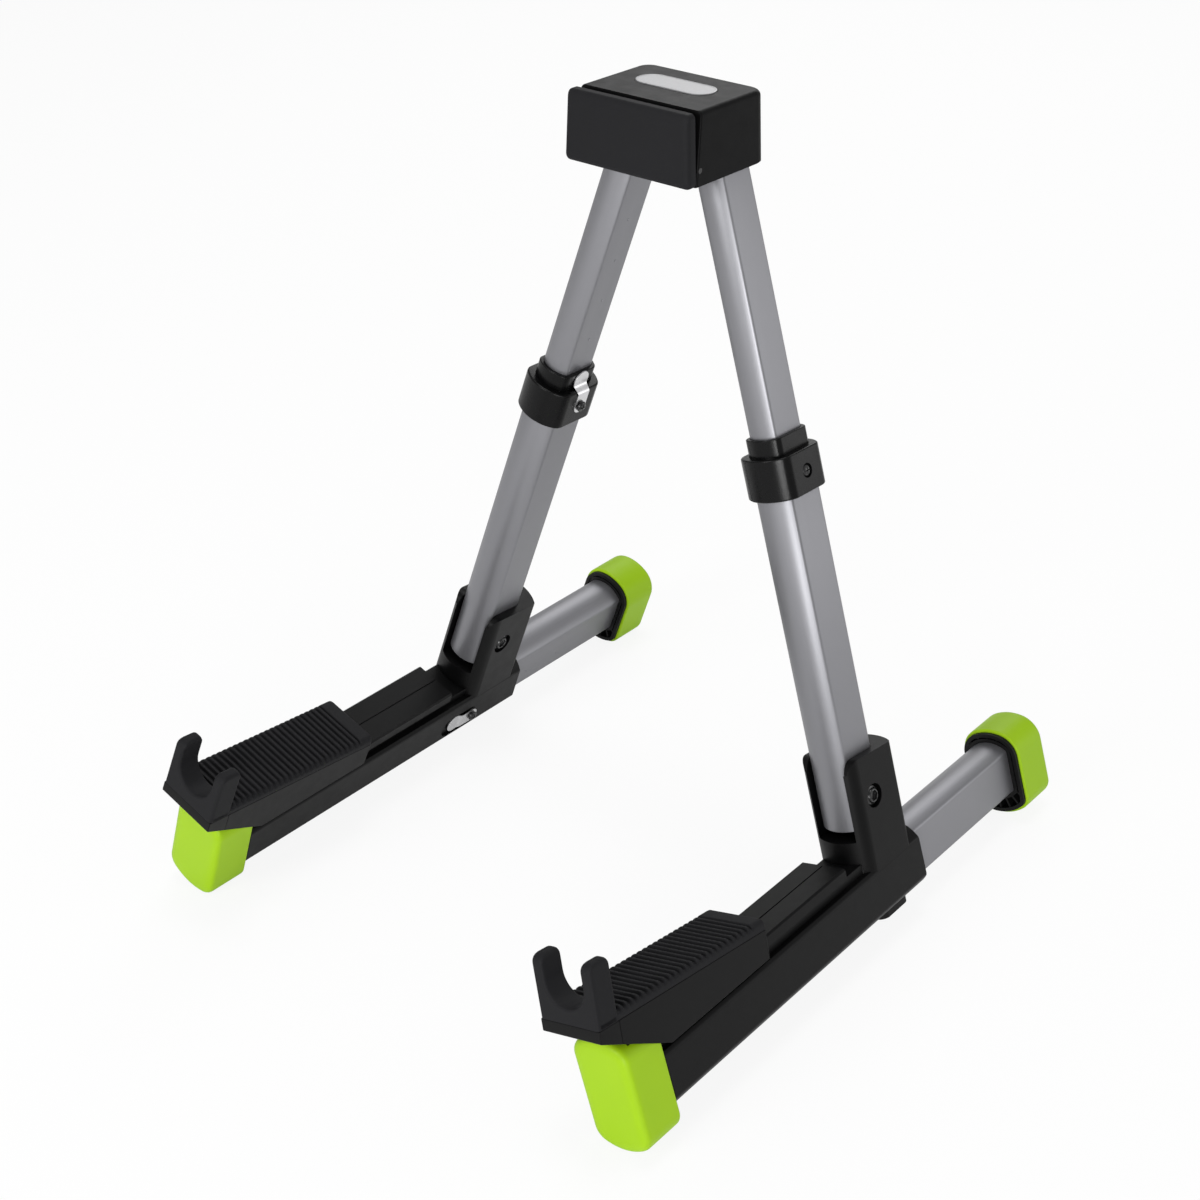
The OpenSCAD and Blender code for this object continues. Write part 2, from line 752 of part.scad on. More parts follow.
module hinge_screw() {
    tip = arm_width / 2 - bolt_recess;
    color(black) difference() {
        union() {
            rod_x(barrel_d - 2 - 2 * press_gap, -tip + 4, tip);
            rod_x(bolt_head_d, tip, tip + bolt_head_h);
        }
        translate([tip + bolt_head_h - hex_depth, 0, 0]) rotate([0, 90, 0])
            cylinder(d = hex_d, h = over + hex_depth, $fn = 6);
    }
}

module arm_catch() {
    color(steel) translate([-arm_width / 2, arm_catch_y + catch_reach, arm_catch_z])
        rotate([90, 0, 0]) catch_leaf(1, (arm_width - rear_width) / 2 - sliding_gap);
}

module arm_catch_screw() {
    color(black)
        translate([-arm_width / 2 - catch_sheet - catch_lift, arm_catch_y + catch_reach, arm_catch_z])
            mirror([1, 0, 0])
                small_screw(catch_sheet + catch_lift + (arm_width - bore_width) / 2 - screw_tip);
}

// Slanted plane under the carriage nose; everything above it is cut from the front foot
module above_rake(clear) {
    translate([-far / 2, nose_y, nose_z - clear]) rotate([-carriage_rake, 0, 0])
        translate([0, -far / 2, 0]) cube([far, far, far]);
}

module front_foot() {
    depth = 2 * tread_r;
    color(lime) difference() {
        union() {
            along_y(-front_foot_end + foot_round, -front_foot_start)
                translate([0, -arm_drop]) crowned_d(depth, front_foot_width, foot_corner,
                                                    foot_crown);
            hull() for (i = [0:3]) {
                inset = foot_round * (1 - cos(90 * i / 3));
                out = foot_round * sin(90 * i / 3);
                along_y(-front_foot_end + foot_round - out,
                        -front_foot_end + foot_round - out + (i == 0 ? foot_lap : slice))
                    translate([0, -arm_drop]) crowned_d(depth - 2 * inset,
                        front_foot_width - 2 * inset, foot_corner - inset,
                        foot_crown - inset);
            }
        }
        above_rake(sliding_gap);
        along_y(-arm_front, 0) {
            arm_section(front_foot_seat - press_gap);
            translate([-rail_width / 2 - press_gap, shoulder_z])
                square([rail_width + 2 * press_gap, far]);
        }
    }
}

// Rear tube and rear foot
module rear_tube() {
    color(silver) difference() {
        along_y(rear_reach - rear_length, rear_reach) translate([0, rear_axis_z])
            double_d_ring(rear_depth, rear_width, lower_corner, rear_wall);
        for (y = rear_hole_ys) translate([0, y, arm_catch_z])
            rod_x(catch_pin_d + 2 * catch_hole_gap, -rear_width, 0);
    }
}

module rear_guide() {
    start = rear_reach - rear_length;
    color(black) {
        along_y(start - 2, start) translate([0, rear_axis_z])
            double_d(rear_depth, rear_width, lower_corner);
        along_y(start, start + 8) translate([0, rear_axis_z])
            double_d(rear_depth - 2 * (rear_wall + press_gap),
                     rear_width - 2 * (rear_wall + press_gap), lower_corner - rear_wall / 2);
    }
}

module plug_section(inset) {
    crowned_d(plug_depth - 2 * inset, plug_width - 2 * inset, plug_corner - inset,
              plug_crown - inset);
}

module rear_plug() {
    color(black) difference() {
        union() {
            along_y(plug_start, plug_end) translate([0, rear_foot_z]) difference() {
                plug_section(0);
                plug_section(plug_rim);
            }
            along_y(plug_start, plug_end) translate([0, rear_axis_z])
                double_d(rear_depth + 2 * plug_socket_wall, rear_width + 2 * plug_socket_wall,
                         lower_corner + 1);
            along_y(plug_start + plug_floor, plug_end) translate([0, rear_foot_z])
                plug_section(plug_rim / 2);
            intersection() {
                along_y(plug_start + plug_rib_inset, plug_end) translate([0, rear_foot_z])
                    plug_section(plug_rim / 2);
                for (i = [0:plug_ribs - 1]) translate([0, 0, rear_foot_z])
                    rotate([0, 360 * i / plug_ribs, 0])
                        translate([-plug_rib_thick / 2, plug_start, 0])
                            cube([plug_rib_thick, plug_end - plug_start, plug_depth]);
            }
        }
        along_y(plug_start - over, rear_reach + press_gap) translate([0, rear_axis_z])
            double_d(rear_depth + 2 * press_gap, rear_width + 2 * press_gap, lower_corner);
    }
}

module rear_foot() {
    depth = 2 * rear_tread_r;
    color(lime) difference() {
        union() {
            along_y(rear_foot_start, rear_foot_end - foot_round) translate([0, rear_foot_z])
                crowned_d(depth, rear_foot_width, foot_corner, foot_crown);
            hull() for (i = [0:3]) {
                inset = foot_round * (1 - cos(90 * i / 3));
                out = foot_round * sin(90 * i / 3);
                along_y(rear_foot_end - foot_round + out - (i == 0 ? foot_lap : slice),
                        rear_foot_end - foot_round + out)
                    translate([0, rear_foot_z]) crowned_d(depth - 2 * inset,
                        rear_foot_width - 2 * inset, foot_corner - inset,
                        foot_crown - inset);
            }
        }
        along_y(rear_foot_start - over, plug_end + press_gap) translate([0, rear_foot_z])
            plug_section(-press_gap);
    }
}

// Cradle pad
module pad_carriage() {
    front_top_y = -pad_rear - pad_length * cos(pad_slope);
    front_top_z = carriage_top + pad_length * sin(pad_slope);
    rake_y = nose_y + (nose_z - carriage_base) / tan(carriage_rake);
    carriage_lean = (carriage_top - carriage_base) * tan(pad_slope);
    color(black) difference() {
        along_x(-pad_width / 2, pad_width / 2) polygon([
            [-pad_rear, carriage_top], [-pad_rear - carriage_lean, carriage_base],
            [rake_y, carriage_base], [nose_y, nose_z], [front_top_y, front_top_z]]);
        along_y(nose_y - over, 0) {
            translate([-channel_width / 2, rail_under - sliding_gap])
                square([channel_width, rail_head + 2 * sliding_gap]);
            translate([-hook_gap / 2, carriage_base - over])
                square([hook_gap, rail_under - carriage_base + over + sliding_gap]);
        }
    }
}

// Section of the rubber: flat base, rounded upper edges
module pad_section(inset) {
    w = pad_width / 2 - inset;
    h = pad_thick - inset;
    translate([-w, press_gap]) square([2 * w, h - pad_round - press_gap]);
    translate([-w + pad_round, press_gap]) square([2 * (w - pad_round), h - press_gap]);
    intersection() {
        for (s = [-1, 1]) translate([s * (w - pad_round), h - pad_round]) circle(r = pad_round);
        translate([-far, press_gap]) square(2 * far);
    }
}

// Section of the rubber between two ribs: the sides stay smooth up to the skirt
module groove_section() {
    pad_section(rib_depth);
    intersection() {
        pad_section(0);
        translate([-far, press_gap]) square([2 * far, rib_skirt - press_gap]);
    }
}

module pad_rubber() {
    finger = (pad_width - fork_gap) / 2;
    fork_back = -pad_length + fork_thick;
    color(charcoal) on_pad() {
        // Ribbed bed with a smooth rear end
        along_y(-pad_length + 1, -rib_end) groove_section();
        along_y(-rib_end, 0) pad_section(0);
        for (i = [0:rib_count - 1]) {
            y = -rib_end - (i + 1) * rib_pitch;
            along_y(y, y + rib_width) pad_section(0);
        }
        // Fork
        intersection() {
            along_y(-pad_length, fork_back) difference() {
                union() {
                    translate([-pad_width / 2, press_gap])
                        square([pad_width, fork_height - finger / 2 - press_gap]);
                    for (s = [-1, 1]) translate([s * (pad_width - finger) / 2,
                                                 fork_height - finger / 2]) circle(d = finger);
                }
                translate([0, fork_floor + fork_gap / 2]) circle(d = fork_gap);
                translate([-fork_gap / 2, fork_floor + fork_gap / 2]) square([fork_gap, far]);
            }
            along_x(-pad_width, pad_width) {
                translate([-pad_length, 0]) square([fork_thick, fork_height - 4]);
                translate([-pad_length + 4, 0]) square([fork_thick - 7, fork_height]);
                translate([-pad_length + 4, fork_height - 4]) circle(r = 4);
                translate([fork_back - 3, fork_height - 3]) circle(r = 3);
            }
        }
    }
}

// Head
module head_outline(inset) {
    w = head_width / 2 - inset;
    r = max(head_corner - inset, 1);
    rear = head_rear - inset;
    translate([-w, head_front - 4]) square([2 * w, rear - r - head_front + 4]);
    translate([-w + r, head_front - 4]) square([2 * (w - r), rear - head_front + 4]);
    for (s = [-1, 1]) translate([s * (w - r), rear - r]) circle(r = r);
}

// Everything in front of the slanted front of the housing
module before_housing() {
    translate([-far / 2, head_front, head_base]) rotate([-head_relief, 0, 0])
        translate([0, -far, -far / 2]) cube([far, far, far]);
}

module head_screw_axes() {
    for (s = [-1, 1]) translate([s * boss_x, yoke_y + yoke_thick / 2, 0]) children();
}

module leg_pin_axes() {
    for (s = [-1, 1]) translate([s * head_pin_x, 0, pin_z]) children();
}

module head_housing() {
    color(black) difference() {
        union() {
            difference() {
                hull() {
                    along_z(head_base, head_base + 0.5) head_outline(0, $fn = hull_fn);
                    along_z(head_top - 2 * head_round, head_top - head_round)
                        head_outline(head_taper, $fn = hull_fn);
                    along_z(head_top - head_round, head_top - head_round * 0.3)
                        head_outline(head_taper + head_round * 0.3, $fn = hull_fn);
                    along_z(head_top - head_round, head_top)
                        head_outline(head_taper + head_round, $fn = hull_fn);
                }
                before_housing();
                translate([-leg_stop_x, cavity_front, head_base - over])
                    cube([2 * leg_stop_x, head_rear - head_wall - cavity_front,
                          head_height - head_wall + over]);
            }
            head_screw_axes() along_z(head_base + yoke_height + 1, head_top - 1) circle(d = boss_d);
        }
        leg_pin_axes() rod_y(leg_pin_d + 2 * press_gap, pin_y, head_rear - 1);
        translate([0, pad_pin_y, pad_pin_z])
            rod_x(pad_pin_d + 2 * press_gap, -head_width, head_width);
        for (s = [-1, 1]) translate([s * lug_x, 0, 0])
            translate([-lug_width / 2 - swing_gap, head_front - 6, head_base - over])
                cube([lug_width + 2 * swing_gap, 12 + head_wall, pad_pin_height + lug_r + over + 1]);
        head_screw_axes() along_z(head_base, head_top - head_wall)
            circle(d = small_shank_d - 0.4);
        translate([0, badge_y, head_top - badge_sink]) linear_extrude(far)
            capsule(badge_length + 0.4, badge_width + 0.4);
    }
}

module capsule(length, width) {
    square([length - width, width], center = true);
    for (s = [-1, 1]) translate([s * (length - width) / 2, 0]) circle(d = width);
}

module head_badge() {
    color(steel) translate([0, badge_y, head_top - badge_sink]) linear_extrude(badge_thick)
        capsule(badge_length, badge_width);
}

module head_yoke() {
    half = leg_stop_x - 0.1;
    color(black) difference() {
        translate([-half, yoke_y, head_base + 1]) cube([2 * half, yoke_thick, yoke_height]);
        leg_pin_axes() rod_y(leg_pin_d + 2 * press_gap, yoke_y - over, pin_y);
        head_screw_axes() {
            along_z(head_base, head_top) circle(d = small_shank_d + 2 * press_gap);
            along_z(head_base, head_base + 4) circle(d = small_head_d);
        }
    }
}

module head_yoke_screws() {
    color(steel) head_screw_axes() {
        along_z(head_base + 2.4, head_base + 4) difference() {
            circle(d = small_head_d - 0.4);
            square([small_head_d, 0.8], center = true);
        }
        along_z(head_base + 3.4, head_base + yoke_height + 1) circle(d = small_shank_d);
        along_z(head_base + yoke_height, head_top - head_wall - 1)
            circle(d = small_shank_d - 0.4 - 2 * press_gap);
    }
}

module leg_pins() {
    color(steel) leg_pin_axes() rod_y(leg_pin_d, yoke_y + 0.5, head_rear - 1.5);
}

module head_pad_pin() {
    color(steel) translate([0, pad_pin_y, pad_pin_z])
        rod_x(pad_pin_d, -head_width / 2 + 0.3, head_width / 2 - 0.3);
}

module head_pad_plate() {
    back = head_pad_back;
    color(black) difference() {
        union() {
            translate([-head_width / 2 + plate_inset, back - plate_thick, head_base + plate_inset])
                cube([head_width - 2 * plate_inset, plate_thick, head_height - 2 * plate_inset]);
            for (s = [-1, 1]) translate([s * lug_x, 0, 0]) {
                translate([0, pad_pin_y, pad_pin_z]) rod_x(2 * lug_r, -lug_width / 2, lug_width / 2);
                translate([-lug_width / 2, back - 1, pad_pin_z - lug_r])
                    cube([lug_width, pad_pin_y - back + 1, 2 * lug_r]);
            }
        }
        translate([0, pad_pin_y, pad_pin_z])
            rod_x(pad_pin_d + 2 * running_fit, -head_width, head_width);
    }
}

module head_pad_outline(inset) {
    w = head_width / 2 - inset;
    h = head_height / 2;
    r = 2;
    hull() for (sx = [-1, 1]) {
        translate([sx * (w - r), -h + inset + r]) circle(r = r);
        translate([sx * (w - head_taper - r), h - 1.6 * inset - r]) circle(r = r);
    }
}

module head_pad_cover() {
    back = head_pad_back;
    front = back - head_pad_thick;
    mid_z = head_base + head_height / 2;
    color(black) difference() {
        translate([0, 0, mid_z]) hull() for (i = [0:3]) {
            inset = 2.6 * (1 - cos(90 * i / 3));
            y = front + 2.6 - 2.6 * sin(90 * i / 3);
            along_y(y, i == 0 ? back : y + slice) head_pad_outline(inset, $fn = hull_fn);
        }
        translate([-head_width / 2 + plate_inset - press_gap, back - plate_thick - press_gap,
                   head_base + plate_inset - press_gap])
            cube([head_width - 2 * (plate_inset - press_gap), far,
                  head_height - 2 * (plate_inset - press_gap)]);
    }
}

head_housing();
head_yoke();
head_yoke_screws();
head_badge();
leg_pins();
head_pad_pin();
head_pad_plate();
head_pad_cover();
on_left() leg_knuckle();  // left_leg_knuckle
on_left() upper_tube();  // left_upper_tube
on_left() upper_guide();  // left_upper_guide
on_left() lower_tube();  // left_lower_tube
on_left() collar();  // left_collar
on_left() collar_bush();  // left_collar_bush
on_left() collar_screw();  // left_collar_screw
on_left() collar_catch();  // left_collar_catch
on_left() collar_catch_screw();  // left_collar_catch_screw
on_left() hinge_plug();  // left_hinge_plug
on_left() base_arm();  // left_base_arm
on_left() hinge_barrel();  // left_hinge_barrel
on_left() hinge_screw();  // left_hinge_screw
on_left() arm_bumper();  // left_arm_bumper
on_left() arm_catch();  // left_arm_catch
on_left() arm_catch_screw();  // left_arm_catch_screw
on_left() front_foot();  // left_front_foot
on_left() rear_tube();  // left_rear_tube
on_left() rear_guide();  // left_rear_guide
on_left() rear_plug();  // left_rear_plug
on_left() rear_foot();  // left_rear_foot
on_left() pad_carriage();  // left_pad_carriage
on_left() pad_rubber();  // left_pad_rubber
on_right() leg_knuckle();  // right_leg_knuckle
on_right() upper_tube();  // right_upper_tube
on_right() upper_guide();  // right_upper_guide
on_right() lower_tube();  // right_lower_tube
on_right() collar();  // right_collar
on_right() collar_bush();  // right_collar_bush
on_right() collar_screw();  // right_collar_screw
on_right() collar_catch();  // right_collar_catch
on_right() collar_catch_screw();  // right_collar_catch_screw
on_right() hinge_plug();  // right_hinge_plug
on_right() base_arm();  // right_base_arm
on_right() hinge_barrel();  // right_hinge_barrel
on_right() hinge_screw();  // right_hinge_screw
on_right() arm_bumper();  // right_arm_bumper
on_right() arm_catch();  // right_arm_catch
on_right() arm_catch_screw();  // right_arm_catch_screw
on_right() front_foot();  // right_front_foot
on_right() rear_tube();  // right_rear_tube
on_right() rear_guide();  // right_rear_guide
on_right() rear_plug();  // right_rear_plug
on_right() rear_foot();  // right_rear_foot
on_right() pad_carriage();  // right_pad_carriage
on_right() pad_rubber();  // right_pad_rubber
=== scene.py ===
import json
import math

import bmesh
import bpy
from mathutils import Matrix, Vector


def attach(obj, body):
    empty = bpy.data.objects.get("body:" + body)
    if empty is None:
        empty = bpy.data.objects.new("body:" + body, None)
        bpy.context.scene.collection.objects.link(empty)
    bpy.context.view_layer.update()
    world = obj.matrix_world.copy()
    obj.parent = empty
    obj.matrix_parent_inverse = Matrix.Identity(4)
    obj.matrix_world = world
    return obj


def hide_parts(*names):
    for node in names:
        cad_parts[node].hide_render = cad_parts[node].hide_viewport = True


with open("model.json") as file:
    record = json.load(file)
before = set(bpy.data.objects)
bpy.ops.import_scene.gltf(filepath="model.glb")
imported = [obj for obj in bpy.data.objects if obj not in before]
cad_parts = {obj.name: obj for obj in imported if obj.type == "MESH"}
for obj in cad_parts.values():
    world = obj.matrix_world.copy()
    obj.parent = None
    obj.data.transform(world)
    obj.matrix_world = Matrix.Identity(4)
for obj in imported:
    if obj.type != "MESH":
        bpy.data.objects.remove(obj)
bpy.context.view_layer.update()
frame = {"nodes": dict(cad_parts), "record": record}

# Sizes in millimetres, as in the part's source
MM = 0.001
SPLAY = math.radians(18.5)
LEAN = math.radians(2)
PAD_SLOPE = math.radians(7.5)
ARM_DROP = 45
LEG_LENGTH = 308
TREAD_R = 25.7
HINGE_Z = TREAD_R + ARM_DROP * math.cos(SPLAY)
PAD_REAR = 93.8
PAD_LENGTH = 108
REAR_REACH = 130
REAR_FOOT_END = REAR_REACH + 12
NOSE_DROP = 5.5  # from the pad's base down to the foremost point under it
FRONT_REACH = (PAD_REAR + PAD_LENGTH * math.cos(PAD_SLOPE)
               + NOSE_DROP * math.sin(PAD_SLOPE))
RAIL_TOP = 22 - ARM_DROP
PAD_BASE = RAIL_TOP + 5.6
PIN_X = 18.3
HINGE_X = PIN_X + LEG_LENGTH * math.cos(LEAN) * math.sin(SPLAY)
HINGE_Y = (FRONT_REACH - REAR_FOOT_END) / 2
PIN_Y = HINGE_Y + LEG_LENGTH * math.sin(LEAN)
PIN_Z = HINGE_Z + LEG_LENGTH * math.cos(LEAN) * math.cos(SPLAY)

# Frames: a shape is drawn in millimetres in one of these, and lands in metres in the part
WHOLE = Matrix.Scale(MM, 4)
RIGHT_SIDE = (WHOLE @ Matrix.Translation((HINGE_X, HINGE_Y, HINGE_Z))
              @ Matrix.Rotation(-SPLAY, 4, "Y"))
MIRROR_X = Matrix.Diagonal((-1, 1, 1, 1))
LEG_TURN = Matrix.Rotation(-LEAN, 4, "X")
PAD_PLACE = (Matrix.Translation((0, -PAD_REAR, PAD_BASE))
             @ Matrix.Rotation(-PAD_SLOPE, 4, "X"))


def added(name, data):
    """A new object of the scene, at the origin."""
    thing = bpy.data.objects.new(name, data)
    bpy.context.scene.collection.objects.link(thing)
    return thing


# Camera at the photograph's viewing angle: its turns in degrees, its place in millimetres
AZIMUTH, ELEVATION, ROLL = 39.77, 30.18, -0.17
EYE = Vector((509.43, HINGE_Y - 654.06, HINGE_Z + 541.98))
LENS, SENSOR_WIDTH = 59.5, 36


def aim_camera():
    azimuth, elevation, roll = (math.radians(a) for a in (AZIMUTH, ELEVATION, ROLL))
    back = Vector((math.sin(azimuth) * math.cos(elevation),
                   -math.cos(azimuth) * math.cos(elevation), math.sin(elevation)))
    right = Vector((math.cos(azimuth), math.sin(azimuth), 0))
    up = back.cross(right)
    across = right * math.cos(roll) - up * math.sin(roll)
    upward = right * math.sin(roll) + up * math.cos(roll)
    camera = added("camera", bpy.data.cameras.new("camera"))
    camera.data.lens, camera.data.sensor_width = LENS, SENSOR_WIDTH
    camera.data.clip_start, camera.data.clip_end = 0.02, 50
    camera.matrix_world = (Matrix.Translation(EYE * MM)
                           @ Matrix((across, upward, back)).transposed().to_4x4())
    bpy.context.scene.camera = camera


# Shader maths as Python expressions
class Field:
    """A socket in an expression: + - and * with numbers or other fields add their Math nodes."""

    def __init__(self, tree, socket):
        self.tree, self.socket = tree, socket

    def _math(self, operation, a, b):
        node = self.tree.nodes.new("ShaderNodeMath")
        node.operation = operation
        for slot, value in zip(node.inputs, (a, b)):
            put(self.tree, slot, value)
        return Field(self.tree, node.outputs[0])

    def __add__(self, other): return self._math("ADD", self, other)
    def __radd__(self, other): return self._math("ADD", other, self)
    def __sub__(self, other): return self._math("SUBTRACT", self, other)
    def __rsub__(self, other): return self._math("SUBTRACT", other, self)
    def __mul__(self, other): return self._math("MULTIPLY", self, other)
    def __rmul__(self, other): return self._math("MULTIPLY", other, self)


def put(tree, slot, value):
    """Link an input to a field, or set its value."""
    if isinstance(value, Field):
        tree.links.new(value.socket, slot)
    else:
        slot.default_value = value


class Nodes:
    """A shader's node tree, and the one way that adds a node other than maths to it."""

    def __init__(self, tree):
        self.tree = tree

    def node(self, kind, settings=None, values=None, out=0):
        """A node of one type: its settings first, then the values or links of its sockets."""
        made = self.tree.nodes.new(kind)
        for key, value in (settings or {}).items():
            if key == "stops":
                for stop, (at, shade) in zip(made.color_ramp.elements, value):
                    stop.position, stop.color = at, (*shade, 1)
            else:
                setattr(made, key, value)
        for key, value in (values or {}).items():
            put(self.tree, made.inputs[key], value)
        return Field(self.tree, made.outputs[out])


class Finish(Nodes):
    """A material whose patterns follow the place on the object, or an axis turned from it."""

    def __init__(self, name, turn=None):
        self.material = bpy.data.materials.new(name)
        self.material.use_nodes = True
        super().__init__(self.material.node_tree)
        self.shader = self.tree.nodes["Principled BSDF"]
        self.place = self.node("ShaderNodeTexCoord", out="Object")
        if turn:
            self.place = self.node("ShaderNodeMapping", {"vector_type": "TEXTURE"},
                                   {"Vector": self.place, "Rotation": turn})

    def stretched(self, scales):
        return self.node("ShaderNodeVectorMath", {"operation": "MULTIPLY"},
                         {0: self.place, 1: scales})

    def noise(self, scale, detail, at=None):
        return self.node("ShaderNodeTexNoise", None,
                         {"Vector": at or self.place, "Scale": scale, "Detail": detail})

    def mix(self, a, b, factor):
        return self.node("ShaderNodeMix", {"data_type": "RGBA"},
                         {0: factor, 6: (*a, 1), 7: (*b, 1)}, out=2)

    def bump(self, height, strength, distance):
        self.feed("Normal", self.node("ShaderNodeBump", None, {
            "Height": height, "Strength": strength, "Distance": distance}))

    def feed(self, socket, value):
        put(self.tree, self.shader.inputs[socket], value)


def moulded_plastic(name, dark, light, rough, grain, specular):
    finish = Finish(name)
    cloud = finish.noise(scale=38, detail=3)
    finish.feed("Base Color", finish.mix(dark, light, cloud))
    finish.feed("Roughness", rough + (finish.noise(scale=160, detail=2) - 0.5) * 0.12)
    finish.feed("Specular IOR Level", specular)
    finish.bump(finish.noise(scale=1600, detail=2), strength=grain, distance=0.00012)
    return finish.material


def satin_tube(name, turn):
    finish = Finish(name, turn)
    lines = finish.noise(scale=1, detail=3, at=finish.stretched((2600, 2600, 14)))
    cloud = finish.noise(scale=9, detail=2)
    finish.feed("Base Color", finish.mix((0.215, 0.215, 0.23), (0.25, 0.25, 0.265),
                                         lines * 0.5 + cloud * 0.5))
    finish.feed("Metallic", 0.75)
    finish.feed("Roughness", 0.42 + (lines - 0.5) * 0.14)
    finish.bump(lines, strength=0.12, distance=0.00005)
    return finish.material


def soft_rubber(name, dark, light, rough, grain, specular):
    finish = Finish(name)
    cloud = finish.noise(scale=24, detail=3)
    finish.feed("Base Color", finish.mix(dark, light, cloud))
    finish.feed("Roughness", rough + (cloud - 0.5) * 0.1)
    finish.feed("Specular IOR Level", specular)
    finish.bump(finish.noise(scale=1900, detail=2), strength=grain, distance=0.00012)
    return finish.material


def bright_sheet(name, colour, rough, scales):
    finish = Finish(name)
    lines = finish.noise(scale=1, detail=3, at=finish.stretched(scales))
    finish.feed("Base Color", finish.mix(tuple(0.9 * c for c in colour), colour, lines))
    finish.feed("Metallic", 1.0)
    finish.feed("Roughness", rough + (lines - 0.5) * 0.14)
    finish.bump(lines, strength=0.1, distance=0.00003)
    return finish.material


def speckled_plate(name):
    finish = Finish(name)
    fleck = finish.noise(scale=2600, detail=2)
    finish.feed("Base Color", finish.mix((0.16, 0.16, 0.165), (0.46, 0.46, 0.47), fleck))
    finish.feed("Metallic", 0.5)
    finish.feed("Roughness", 0.42 + (fleck - 0.5) * 0.3)
    finish.bump(fleck, strength=0.15, distance=0.00004)
    return finish.material


finishes = {
    "moulding": moulded_plastic("black_moulding", (0.0015, 0.0015, 0.0016),
                                (0.0022, 0.0022, 0.0024), rough=0.27, grain=0.25, specular=0.16),
    "housing": moulded_plastic("head_moulding", (0.0025, 0.0025, 0.0027),
                               (0.004, 0.004, 0.0043), rough=0.46, grain=0.35, specular=0.07),
    "arm": moulded_plastic("arm_moulding", (0.0015, 0.0015, 0.0016),
                           (0.0022, 0.0022, 0.0023), rough=0.4, grain=0.12, specular=0.13),
    "inner": moulded_plastic("inner_moulding", (0.004, 0.004, 0.004),
                             (0.006, 0.006, 0.006), rough=0.5, grain=0.2, specular=0.16),
    "screw": moulded_plastic("blackened_screw", (0.006, 0.006, 0.006),
                             (0.011, 0.011, 0.012), rough=0.26, grain=0.1, specular=0.5),
    "pad": soft_rubber("charcoal_rubber", (0.008, 0.008, 0.009),
                       (0.011, 0.011, 0.0125), rough=0.66, grain=0.35, specular=0.14),
    "foot": soft_rubber("lime_rubber", (0.28, 0.485, 0.004),
                        (0.315, 0.52, 0.007), rough=0.45, grain=0.15, specular=0.2),
    "leaf": bright_sheet("bright_leaf", (0.72, 0.72, 0.73), rough=0.3,
                         scales=(900, 900, 60)),
    "pin": bright_sheet("plain_pin", (0.6, 0.6, 0.62), rough=0.35,
                        scales=(700, 60, 700)),
    "badge": speckled_plate("badge_plate"),
}
tubes = {side: satin_tube(f"{side}_leg_tube", (-LEAN, -sign * SPLAY, 0))
         for side, sign in (("left", -1), ("right", 1))}
rear_tube_finish = satin_tube("rear_tube_satin", (math.radians(90), 0, 0))


# Every CAD node takes the finish of its slot; the hinge pin of the tilting pad is a black one
slot_of = {row["node"]: row["material_slot"] for row in frame["record"]["subparts"]}
for name, node in frame["nodes"].items():
    slot = slot_of[name]
    if slot == "tube":
        side = name.split("_")[0]
        finish = rear_tube_finish if "rear" in name else tubes[side]
    else:
        finish = finishes["screw" if name == "head_pad_pin" else slot]
    node.data.materials.clear()
    node.data.materials.append(finish)


# Drawing: a piece is drawn in millimetres in a frame of its own
def local(side=None, turn=Matrix()):
    """A left piece is drawn mirrored first, so this matrix never turns one inside out."""
    if side is None:
        return WHOLE @ turn
    place = RIGHT_SIDE @ turn
    return place if side == "right" else MIRROR_X @ place @ MIRROR_X


def arc(x, y, r, start, end, steps):
    angles = [math.radians(start + (end - start) * i / steps) for i in range(steps + 1)]
    return [(x + r * math.cos(a), y + r * math.sin(a)) for a in angles]


def flat_sided(depth, width, corner, crown, round_steps, corner_steps):
    """A section with two round ends and two flat sides; the crown rounds its upper corners."""
    r = depth / 2

    def spot(round_off):
        x = width / 2 - round_off
        y = math.sqrt((r - round_off) ** 2 - x * x)
        return x, y, math.degrees(math.atan2(y, x))
    (x, y, low), (cx, cy, high) = spot(corner), spot(crown)
    return (arc(x, -y, corner, -low, 0, corner_steps)
            + arc(cx, cy, crown, 0, high, corner_steps)
            + arc(0, 0, r, high, 180 - high, round_steps)[1:-1]
            + arc(-cx, cy, crown, 180 - high, 180, corner_steps)
            + arc(-x, -y, corner, 180, 180 + low, corner_steps)
            + arc(0, 0, r, 180 + low, 360 - low, round_steps)[1:-1])


def capsule(length, width, steps=14):
    run = (length - width) / 2
    return arc(run, 0, width / 2, -90, 90, steps) + arc(-run, 0, width / 2, 90, 270, steps)


def circle(r, steps):
    return arc(0, 0, r, 0, 360, steps)[:-1]


def eased(share):
    """From 0 to 1 with a soft start and a soft end."""
    share = min(1.0, max(0.0, share))
    return share * share * (3 - 2 * share)


def fallen(r, past):
    """How far an edge of radius r has dropped, this far past its start."""
    past = max(0, past)
    return r - math.sqrt(r * r - past * past)


def along_z(outline, z):
    return [(x, y, z) for x, y in outline]


def along_y(outline, y):
    return [(x, y, z) for x, z in outline]


def along_x(outline, x):
    return [(x, y, z) for y, z in outline]


